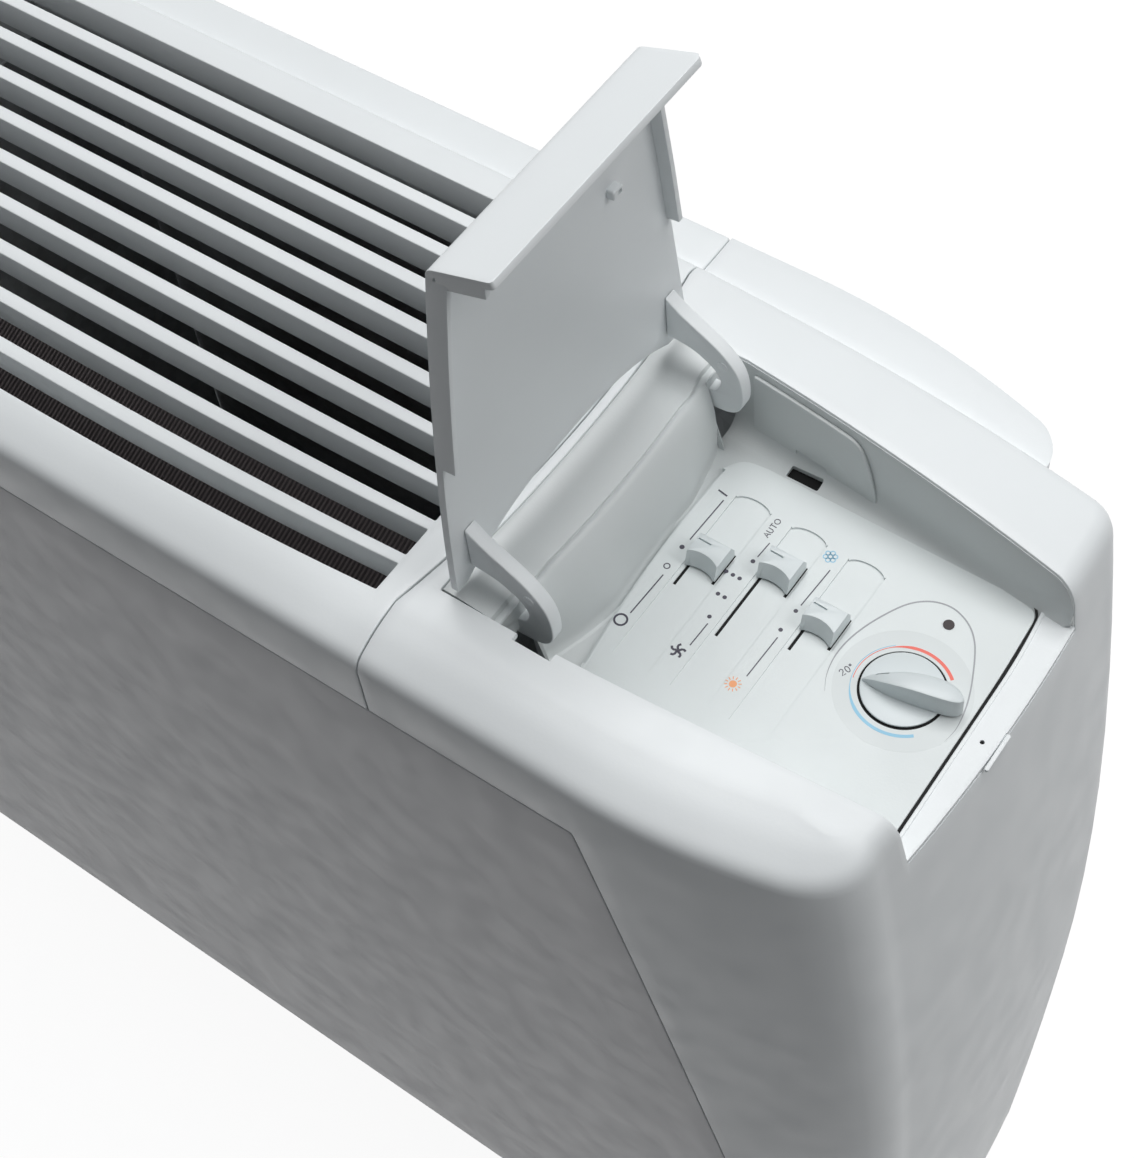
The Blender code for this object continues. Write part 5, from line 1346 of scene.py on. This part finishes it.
def shelf(name):
    """The strip at the open end of the tub, with its bead, its small hole and the catch tab at its edge."""
    rows = 30
    low = (OPENING_FRONT_Y + OPENING_FRONT_TAPER - DIAL_Y) * 1000.0 - 2.0
    high = (opening_rear(OPENING_END_X) - DIAL_Y) * 1000.0 - 0.5

    def place(i, j):
        y = low + (high - low) * i / rows
        bend = -1.9 * max(0.0, (y - 20.0) / 32.0) ** 2 - 0.5 * (y + 46.0) / 93.0
        if j < len(SHELF_BEAD):
            x, z = SHELF_BEAD[j]
            return from_dial(x + bend, y, z)
        edge = (end_x(PANEL_Z) - DIAL_X - crown(DIAL_Y + y / 1000)) * 1000.0
        near = SHELF_BEAD[-1][0] + bend
        return from_dial(near + (edge - near) * (j - len(SHELF_BEAD) + 1) / 4, y, SHELF_BEAD[-1][1])

    piece = weld(laid_grid(name, rows, len(SHELF_BEAD) + 3, place))
    thicken(piece, SHELF_THICKNESS + 0.0003)
    round_edges(piece, 0.0002, 2, 50.0)
    hole = plate_of(f"{name}_hole_tool", circle(32.0, -2.8, 0.85), -4.0, 2.0)
    slot = plate_of(f"{name}_slot_tool", rounded(box(36.9, -11.6, 42.0, 5.4), 1.2), -1.4, 2.0)
    cut_out(piece, hole, slot)
    tab = plate_of(f"{name}_tab", rounded(box(37.2, -11.2, 38.9, 5.0), 0.8), -2.2, -0.9)
    round_edges(tab, 0.0004, 2, 40.0)
    return joined(piece, tab)


def slider_spot(number):
    """Where a slider's middle stands at rest."""
    return (SLIDER_FIRST_X + number * SLIDER_PITCH) * 1000.0, SLIDER_Y[number] * 1000.0


def slot_ring(number, side, more):
    """A slider's slot: the long one at the left that its leg runs in, or the short one at its right."""
    x, y = slider_spot(number)
    half = SLIDER_LEG_DEPTH * 500.0
    if side == 0:
        outer = x - SLIDER_OUTER
        low_x, high_x = outer - 0.15, outer + 1.05
        near, far = y - SLIDER_STEPS[number] * SLIDER_STEP * 1000.0 - half - 0.4, y + half + 0.4
    else:
        outer = x + SLIDER_OUTER
        low_x, high_x = outer - 0.5, outer + 0.7
        near, far = y - SLIDER_DEPTH * 500.0 - 0.8, y + half + 3.0
    return box(low_x - more, near - more, high_x + more, far + more)


def fascia(name):
    """The control plate: rounded, with three tracks, their slots, the dial's dish and two holes."""
    edge = [(plate_edge(y), y) for y in range(-46, 48, 4)]
    front = [(x, (opening_front(DIAL_X + x / 1000) - DIAL_Y) * 1000.0 + 2.0 + 12.0 * (20 - x) / 110.0)
             for x in range(-90, 24, 6)]
    right = [(25.2, front[-1][1] + 0.4, 0.4), (25.0, 0.0, 4.0), (24.8, 24.0, 10.0), (23.3, 52.0, 4.5)]
    rear = [(x, 54.0 + 0.6 * (18 - x) / 118.0) for x in range(8, -90, -8)]
    left = [(-98.0, 53.4, 9.0)] + edge[::-1] + [(-97.6, -54.0, 4.0)]
    ring = rounded(front[1:] + right + rear + left, 0.3, 4)
    plate = plate_of(name, ring, -2.5, 0.0)
    round_edges(plate, 0.0008, 3, 40.0)
    tools = []
    for number, (front_end, rear_end) in enumerate(TRACK_ENDS):
        x = slider_spot(number)[0]
        turns = [math.radians(180.0 - 15.0 * n) for n in range(1, 12)]
        arch = [(x + 7.4 * math.cos(t), rear_end - 4.0 + 3.4 * math.sin(t)) for t in turns]
        low, high = x - TRACK_HALF, x + TRACK_HALF
        outline = [(low, front_end), (low, rear_end - 2.6)] + arch + [(high, rear_end - 2.6), (high, front_end)]
        tool = plate_of(f"track_tool_{number}", outline, -0.8, 3.0)
        for vert in tool.data.vertices:
            if vert.co.z < PANEL_Z and vert.co.y < DIAL_Y:
                vert.co.z += TRACK_RISE
        tools.append(tool)
        for side in (0, 1):
            tools.append(plate_of(f"slot_tool_{number}_{side}", slot_ring(number, side, 0.0), -4.0, 2.0))
    tools.append(plate_of("spindle_tool", circle(0.0, 0.0, 3.4), -4.0, 2.0))
    tools.append(plate_of("lamp_tool", circle(*LAMP_PLACE, 1.45), -4.0, 2.0))
    tools.append(plate_of("ring_tool", circle(0.0, 0.0, 15.5, 72), -0.5, 2.0))
    foot = [(plate_edge(y) + 0.4, y) for y in range(-50, 47, 3)]
    tools.append(ribbon("foot_tool", foot, [2.0] * len(foot), -2.2, 2.0))
    return cut_out(plate, *tools)


GROOVE = [(25.75, -54.0), (25.6, -30.0), (25.45, 0.0), (25.2, 24.0), (24.7, 38.0), (23.9, 48.0), (22.5, 52.2),
          (19.6, 54.0), (15.0, 54.6)]


def dark_gaps(name):
    """Painted shade: near-black floors put under the slots, the holes and the ring round the knob, and a near-black
    strip in the gap beside the shelf.
    """
    pieces = [plate_of(f"{name}_slot_{number}_{side}", slot_ring(number, side, 0.4), -1.3, -1.0)
              for number in range(3) for side in (0, 1)]
    ring = plate_of(f"{name}_ring", circle(0.0, 0.0, 15.45, 72), -0.49, -0.36)
    pieces.append(cut_out(ring, plate_of(f"{name}_tool", circle(0.0, 0.0, 12.0, 36), -2.0, 2.0)))
    line = smooth_line(GROOVE)
    widths = [0.75 * min(1.0, (len(line) - n) / 12.0) + 0.05 for n in range(len(line))]
    # painted shade: a near-black strip along the gap beside the shelf
    pieces.append(ribbon(f"{name}_gap_line_shade", line, widths, -1.4, -0.25))
    pieces.append(plate_of(f"{name}_lamp", circle(*LAMP_PLACE, 1.7), -1.0, -0.7))
    floor = -FLOOR_DROP * 1000.0
    pieces.append(plate_of(f"{name}_floor_slot", box(-83.4, 56.2, -68.0, 63.2), floor - 2.6, floor - 2.2))
    pieces.append(plate_of(f"{name}_dot", circle(32.0, -2.8, 1.0), -1.6, -1.35))
    return joined(*pieces)


TEARDROP = [
    (-21.9, -14.6), (-24.6, -9.0), (-26.0, -3.0), (-26.2, 3.0), (-25.4, 9.0), (-23.6, 15.5), (-21.0, 22.0),
    (-17.4, 29.0), (-13.6, 33.6), (-8.6, 36.8), (-2.6, 37.9), (3.0, 36.4), (7.6, 33.4), (11.2, 29.2), (13.8, 24.6),
    (16.2, 19.4), (18.6, 13.6), (20.6, 7.6), (21.9, 1.6), (22.4, -4.0), (21.6, -9.6),
]


def smooth_line(points, steps=6):
    """A smooth line through points of the plate."""
    line = [tuple(curve_spot(points, n, part / steps)) for n in range(len(points) - 1) for part in range(steps)]
    return line + [tuple(points[-1])]


def ribbon(name, points, widths, low, high):
    """A flat strip along a line, as wide as it is told at each point."""
    near = []
    far = []
    for n, (point, width) in enumerate(zip(points, widths)):
        way = (Vector(points[min(len(points) - 1, n + 1)]) - Vector(points[max(0, n - 1)])).normalized()
        side = Vector((-way.y, way.x)) * width / 2.0
        near.append(tuple(Vector(point) - side))
        far.append(tuple(Vector(point) + side))
    return plate_of(name, near + far[::-1], low, high)


def dial_lines(name):
    """The drop-shaped line round the dial and its lamp."""
    line = smooth_line(TEARDROP)
    count = len(line)
    widths = [0.55 * min(1.0, 0.1 + 6.0 * min(n, count - 1 - n) / count) for n in range(count)]
    return ribbon(name, line, widths, 0.0, INK)


def dial_dish(name):
    """The pale dished ring that the dial stands in."""
    bpy.ops.object.select_all(action="DESELECT")
    middle = from_dial(0.0, 0.0, 0.015)
    bpy.ops.mesh.primitive_circle_add(vertices=96, radius=DISH_RADIUS, fill_type="NGON", location=middle)
    piece = named(name)
    activate(piece)
    bpy.ops.object.transform_apply(location=True)
    pick(piece, faces=lambda face: True)
    bpy.ops.mesh.inset(thickness=DISH_RIM, depth=0.00003)
    bpy.ops.mesh.inset(thickness=DISH_BAND, depth=-0.00001)
    bpy.ops.mesh.delete(type="FACE")
    leave()
    return thicken(piece, 0.0003)


LETTERS = {
    "A": (((0.0, 0.0), (1.1, 3.0), (2.2, 0.0)), ((0.45, 1.1), (1.75, 1.1))),
    "U": (((0.0, 3.0), (0.0, 0.8), (0.55, 0.05), (1.45, 0.05), (2.0, 0.8), (2.0, 3.0)),),
    "T": (((0.0, 3.0), (2.2, 3.0)), ((1.1, 3.0), (1.1, 0.0))),
    "O": (tuple(ring_of(1.2, 1.5, 1.35, 18)),),
    "2": (((0.1, 2.3), (0.5, 2.9), (1.3, 2.95), (1.75, 2.3), (1.5, 1.6), (0.0, 0.0), (1.9, 0.0)),),
    "0": (tuple((1.0 + 0.85 * math.cos(t / 9 * math.pi), 1.5 + 1.5 * math.sin(t / 9 * math.pi))
                for t in range(19)),),
    "deg": (tuple(ring_of(0.5, 2.6, 0.42, 12)),),
}


def marks(name, strokes):
    """Printed strokes, each a line, or a dot, with its width."""
    pieces = []
    for number, (line, width) in enumerate(strokes):
        stroke = f"{name}_{number}"
        if len(line) == 1:
            pieces.append(plate_of(stroke, circle(*line[0], width / 2.0, 18), 0.0, INK))
        else:
            pieces.append(ribbon(stroke, line, [width] * len(line), 0.0, INK))
    return joined(*pieces)


def lettered(word, x, y, turn, size, step):
    """The strokes of a short word that runs from a point in a direction."""
    strokes = []
    for number, letter in enumerate(word):
        for line in LETTERS[letter]:
            line = [((px + number * step) * size, py * size) for px, py in line]
            strokes.append((turned(line, math.radians(turn), x, y), 0.32))
    return strokes


def dark_marks():
    """Every dark mark of the plate: its lines with their widths, its dots, the fan and the words."""
    strokes = [
        ([(-98.4, 36.9), (-94.2, 36.2)], 0.65),
        ([(-94.3, 34.0), (-95.0, 13.0)], 0.45),
        ([(-94.6, -4.7), (-95.3, -24.3)], 0.45),
        ([(-70.2, 27.0), (-70.6, 19.6)], 0.40),
        ([(-70.1, -13.3), (-70.4, -24.1)], 0.40),
        ([(-46.1, 28.6), (-46.9, 10.5)], 0.40),
        ([(-46.7, -5.0), (-47.2, -24.0)], 0.40),
        (ring_of(-95.6, -0.9, 1.1, 16), 0.40),
        (ring_of(-96.6, -28.4, 2.3, 24), 0.75),
        ([(-95.6, 8.8)], 1.9), ([(-71.0, 17.2)], 1.7), ([FAN_PLACE], 1.1),
    ]
    dots = ((-76.6, 8.5), (-73.8, 8.5), (-71.0, 8.5), (-73.9, -1.0), (-71.1, -1.0), (-71.2, -10.6), (-47.2, 7.6),
            (-47.5, -1.8))
    strokes += [([dot], 1.6) for dot in dots]
    blade = [(0.5, 0.1), (1.3, 0.75), (2.1, 0.8), (2.8, 0.2)]
    strokes += [(turned(blade, math.radians(72.0 * n + 20.0), *FAN_PLACE), 0.85) for n in range(5)]
    strokes += lettered("AUTO", -71.9, 28.6, 88.0, 0.78, 2.9)
    return strokes + lettered(("2", "0", "deg"), -20.0, -6.2, 66.0, 0.82, 2.6)


def flake_marks():
    """The blue snow crystal: six small rings round a seventh."""
    turns = [math.radians(60.0 * n + 30.0) for n in range(6)]
    places = [FLAKE_PLACE] + [turned([(1.75, 0.0)], turn, *FLAKE_PLACE)[0] for turn in turns]
    return [(ring_of(*place, 0.85, 10), 0.38) for place in places]


def sun_marks():
    """The orange sun: a disc and its rays."""
    ray = [(1.9, 0.0), (3.0, 0.0)]
    return [([SUN_PLACE], 2.8)] + [(turned(ray, math.radians(30.0 * n), *SUN_PLACE), 0.32) for n in range(12)]


def dial_arc(name, start, stop, radius):
    """A coloured arc round the dial that widens in its middle."""
    count = 48
    line = arc_of(0.0, 0.0, radius, start, stop, count)
    widths = [0.25 + 0.95 * min(1.0, max(0.0, n / count - 0.42) * 6.0) for n in range(count + 1)]
    return ribbon(name, line, widths, 0.0, INK)


def slider_block(node, number):
    """A slider's block with its finger hollow and its index line."""
    piece = refined(node, f"{node}_block")
    x, y = slider_spot(number)
    front = y - SLIDER_DEPTH * 500.0
    hollow = plate_of("hollow_tool", circle(x - 0.6, front - 10.4, SCOOP_RADIUS, 72), -0.6, 12.0)
    for vert in hollow.data.vertices:
        if vert.co.z > PANEL_Z + 0.005:
            vert.co.y += SCOOP_LEAN
    spare = box(x - SLIDER_OUTER + 0.9, y - 9.0, x + SLIDER_OUTER + 1.0, y + 9.0)
    line = rounded([(x - 5.9, y + 1.9), (x - 0.4, y + 1.7), (x - 0.4, y + 2.4), (x - 5.9, y + 2.6)], 0.2)
    cut_out(piece, hollow, plate_of("spare_tool", spare, -12.0, 0.12),
            plate_of("line_tool", line, SLIDER_HEIGHT * 1000.0 - 1.05, 12.0))
    return round_edges(piece, 0.0005, 3, 38.0)


GRIP = [
    (-14.0, -2.0, -1.6, 1.8), (-12.5, -2.5, -1.1, 3.4), (-9.0, -3.5, -0.1, 6.2), (-5.0, -4.3, 0.9, 8.4),
    (0.0, -4.7, 2.2, 9.9), (5.0, -4.8, 3.0, 10.7), (10.0, -4.8, 3.4, 11.0), (15.0, -4.6, 3.1, 11.0),
    (18.5, -4.0, 1.9, 10.6), (20.6, -2.9, 0.2, 10.0), (21.4, -1.7, -1.1, 9.4),
]
GRIP_ROWS = ((0.0, 0.0), (0.0, 0.98), (0.12, 1.0), (0.4, 1.0), (0.7, 0.98), (0.92, 0.93), (1.0, 0.86), (1.0, 0.0))


def dial_knob(name):
    """The knob: a low disc with its long grip, falling away to a tip beside the index line."""
    disc = plate_of(name, circle(0.0, 0.0, 14.6, 72), 0.15, 1.0)
    round_edges(disc, 0.0003, 2, 40.0)
    line = smooth_line(GRIP, 4)

    def place(i, j):
        along, front, rear, height = line[i]
        across, share = GRIP_ROWS[j]
        spot = turned([(along, front + (rear - front) * across)], GRIP_TURN)[0]
        return from_dial(*spot, 0.9 + (height - 0.9) * share)

    grip = weld(laid_grid(f"{name}_grip", len(line) - 1, len(GRIP_ROWS) - 1, place))
    pick(grip, edges=lambda edge: edge.is_boundary)
    bpy.ops.mesh.edge_face_add()
    close_up()
    round_edges(grip, 0.0006, 3, 35.0)
    slit = turned([(-9.6, -1.0), (-5.2, -0.2), (-5.2, 0.25), (-9.6, -0.55)], GRIP_TURN)
    cut_out(grip, plate_of("index_tool", slit, 5.1, 12.0))
    return joined(disc, grip)


# Operators

def colour_setting(name, use, colour):
    """A colour that a user would change."""
    return FloatVectorProperty(name=name, description=f"Colour of {use}", subtype="COLOR", size=3, min=0.0, max=1.0,
                               default=colour)


class FanCoilSettings(bpy.types.PropertyGroup):
    """Colours and light that a user would change."""

    shell_colour: colour_setting("Shell colour", "the moulded shell", (0.80, 0.83, 0.84))
    sheet_colour: colour_setting("Sheet colour", "the painted front", (0.74, 0.74, 0.75))
    fascia_colour: colour_setting("Fascia colour", "the control plate", (0.72, 0.76, 0.76))
    tub_colour: colour_setting("Tub colour", "the tub and the hinge hump", (0.66, 0.69, 0.69))
    knob_colour: colour_setting("Knob colour", "the sliders and the dial's knob", (0.66, 0.71, 0.72))
    floor_colour: colour_setting("Floor colour", "the floor", (0.10, 0.10, 0.10))
    lamp_power: FloatProperty(
        name="Lamp power", description="Power of the main lamp", subtype="POWER", unit="POWER",
        min=0.0, default=24.0,
    )


def looks():
    """The user's settings."""
    return bpy.context.scene.fan_coil


class FANCOIL_OT_finishes(bpy.types.Operator):
    """Make the finishes and paint the solids that stay"""

    bl_idname = "fan_coil.finishes"
    bl_label = "Finishes"

    def execute(self, context):
        make_finishes(looks())
        for part in frame["record"]["subparts"]:
            node = NODES[part["node"]]
            node.data.materials.clear()
            own = {"coil_fins": "fins"}.get(part["node"], part["material_slot"])
            node.data.materials.append(FINISHES[own])
        return {"FINISHED"}


class FANCOIL_OT_heads(bpy.types.Operator):
    """Make the two moulded ends"""

    bl_idname = "fan_coil.heads"
    bl_label = "Moulded ends"

    def execute(self, context):
        for name, side, node in (("head_shell_right", 1, "right_end_cap"), ("head_shell_left", -1, "left_end_cap")):
            piece = head_shell(name, side, side > 0)
            finish(piece, "cabinet", "shell_plastic", node)
        return {"FINISHED"}


class FANCOIL_OT_outlet(bpy.types.Operator):
    """Make the slotted outlet"""

    bl_idname = "fan_coil.outlet"
    bl_label = "Air outlet"

    def execute(self, context):
        finish(outlet("outlet_moulding"), "cabinet", "shell_plastic", "top_grille")
        return {"FINISHED"}


class FANCOIL_OT_panel_and_ledges(bpy.types.Operator):
    """Make the front sheet and the three lengths of ledge"""

    bl_idname = "fan_coil.panel_and_ledges"
    bl_label = "Front panel and ledges"

    def execute(self, context):
        finish(front_panel("front_sheet"), "cabinet", "painted_sheet", "front_panel")
        # painted shade: dark strips behind the slanted seams of the front
        finish(seam_shade_strips("seam_shade_strips"), "cabinet", "dark_plastic", "front_panel")
        near = SEAM_X - SEAM_GAP / 2
        spans = (
            ("ledge_middle", -near, near, False, "rear_rail_middle"),
            ("ledge_right", near + SEAM_GAP, LEDGE_END_X, True, "rear_rail_right"),
            ("ledge_left", -LEDGE_END_X, -near - SEAM_GAP, True, "rear_rail_left"),
        )
        for name, low, high, round_end, node in spans:
            finish(ledge(name, low, high, round_end), "cabinet", "shell_plastic", node)
        return {"FINISHED"}


class FANCOIL_OT_controls(bpy.types.Operator):
    """Make the tub, the control plate, the sliders and the knob"""

    bl_idname = "fan_coil.controls"
    bl_label = "Controls"

    def execute(self, context):
        for make, name in ((tray, "tub_tray"), (hump, "hinge_hump"), (wall_pad, "rear_wall_pad")):
            finish(make(name), "cabinet", "shell_plastic", "control_tub", look="tub_plastic")
        finish(shelf("end_shelf"), "cabinet", "shell_plastic", "control_tub")
        plate = (
            (fascia("fascia_plate"), "panel_plastic"),
            (dial_dish("dial_dish"), "dish_plastic"),
            (dial_lines("dial_line"), "ink_grey"),
            (marks("dark_marks", dark_marks()), "ink_dark"),
            (marks("flake_mark", flake_marks()), "ink_blue"),
            (marks("sun_mark", sun_marks()), "ink_orange"),
            (dial_arc("warm_arc", 196.0, 46.0, 17.3), "ink_red"),
            (dial_arc("cool_arc", 128.0, 312.0, 17.9), "ink_blue"),
        )
        for piece, look in plate:
            finish(piece, "cabinet", "panel_plastic", "control_fascia", look=look)
        # painted shade: near-black pieces in the gaps and holes of the control plate
        finish(dark_gaps("dark_gaps"), "cabinet", "dark_plastic", "control_fascia", look="shade")
        for number, node in enumerate(("power_slider", "speed_slider", "season_slider")):
            finish(slider_block(node, number), node, "knob_plastic", node)
        finish(dial_knob("dial_knob"), "knob", "knob_plastic", "thermostat_knob")
        return {"FINISHED"}


class FANCOIL_OT_flap(bpy.types.Operator):
    """Make the flap and its two arms"""

    bl_idname = "fan_coil.flap"
    bl_label = "Flap"

    def execute(self, context):
        finish(cover("cover_flap"), "flap", "shell_plastic", "flap")
        finish(catch("flap_catch"), "flap", "shell_plastic", "flap")
        for side, where in ((-1, "front"), (1, "rear")):
            finish(arm(f"arm_{where}", side), "flap", "shell_plastic", f"hinge_arm_{where}")
        return {"FINISHED"}


class FANCOIL_OT_stage(bpy.types.Operator):
    """Make the floor, the lamps, the world and the camera"""

    bl_idname = "fan_coil.stage"
    bl_label = "Stage"

    def execute(self, context):
        scene = bpy.context.scene
        scene.view_settings.view_transform = "Standard"
        bpy.ops.object.select_all(action="DESELECT")
        bpy.ops.mesh.primitive_plane_add(size=FLOOR_SIZE)
        floor = named("floor")
        floor.data.materials.append(floor_finish("floor_finish", looks().floor_colour))
        world = bpy.data.worlds.new("room")
        world.use_nodes = True
        tree = world.node_tree
        strength = sum_of(tree, "MAXIMUM", looking_rays(tree), WORLD_LIGHT)
        feed(tree, tree.nodes["Background"], {"Color": WORLD_COLOUR, "Strength": strength})
        scene.world = world
        for name, place, aim, share in LAMPS:
            bpy.ops.object.light_add(type="AREA", location=place)
            lamp = named(name)
            lamp.data.size = LAMP_SIZE
            lamp.data.energy = looks().lamp_power * share
            lamp.rotation_euler = (Vector(aim) - Vector(place)).to_track_quat("-Z", "Y").to_euler()
        view = bpy.data.cameras.new("view")
        camera = bpy.data.objects.new("view", view)
        scene.collection.objects.link(camera)
        rows = [(VIEW_RIGHT[n], -VIEW_DOWN[n], -VIEW_FORWARD[n], VIEW_FROM[n]) for n in range(3)]
        camera.matrix_world = Matrix((*rows, (0.0, 0.0, 0.0, 1.0)))
        view.sensor_width = SENSOR_WIDTH
        view.lens = FOCUS_SHARE * SENSOR_WIDTH
        view.clip_start = 0.01
        scene.camera = camera
        return {"FINISHED"}


STEPS = (
    FANCOIL_OT_finishes,
    FANCOIL_OT_heads,
    FANCOIL_OT_outlet,
    FANCOIL_OT_panel_and_ledges,
    FANCOIL_OT_controls,
    FANCOIL_OT_flap,
    FANCOIL_OT_stage,
)


class FANCOIL_PT_panel(bpy.types.Panel):
    """Lists the steps and the settings"""

    bl_idname = "FANCOIL_PT_panel"
    bl_label = "Fan coil unit"
    bl_space_type = "VIEW_3D"
    bl_region_type = "UI"
    bl_category = "Fan coil"

    def draw(self, context):
        for step in STEPS:
            self.layout.operator(step.bl_idname)
        for name in FanCoilSettings.__annotations__:
            self.layout.prop(context.scene.fan_coil, name)


CLASSES = (FanCoilSettings, *STEPS, FANCOIL_PT_panel)


def register():
    for kind in CLASSES:
        bpy.utils.register_class(kind)
    bpy.types.Scene.fan_coil = PointerProperty(type=FanCoilSettings)


def unregister():
    del bpy.types.Scene.fan_coil
    for kind in reversed(CLASSES):
        bpy.utils.unregister_class(kind)


def main():
    register()
    for step in STEPS:
        group, name = step.bl_idname.split(".")
        getattr(getattr(bpy.ops, group), name)()
    bpy.context.view_layer.update()


if __name__ == "__main__":
    main()
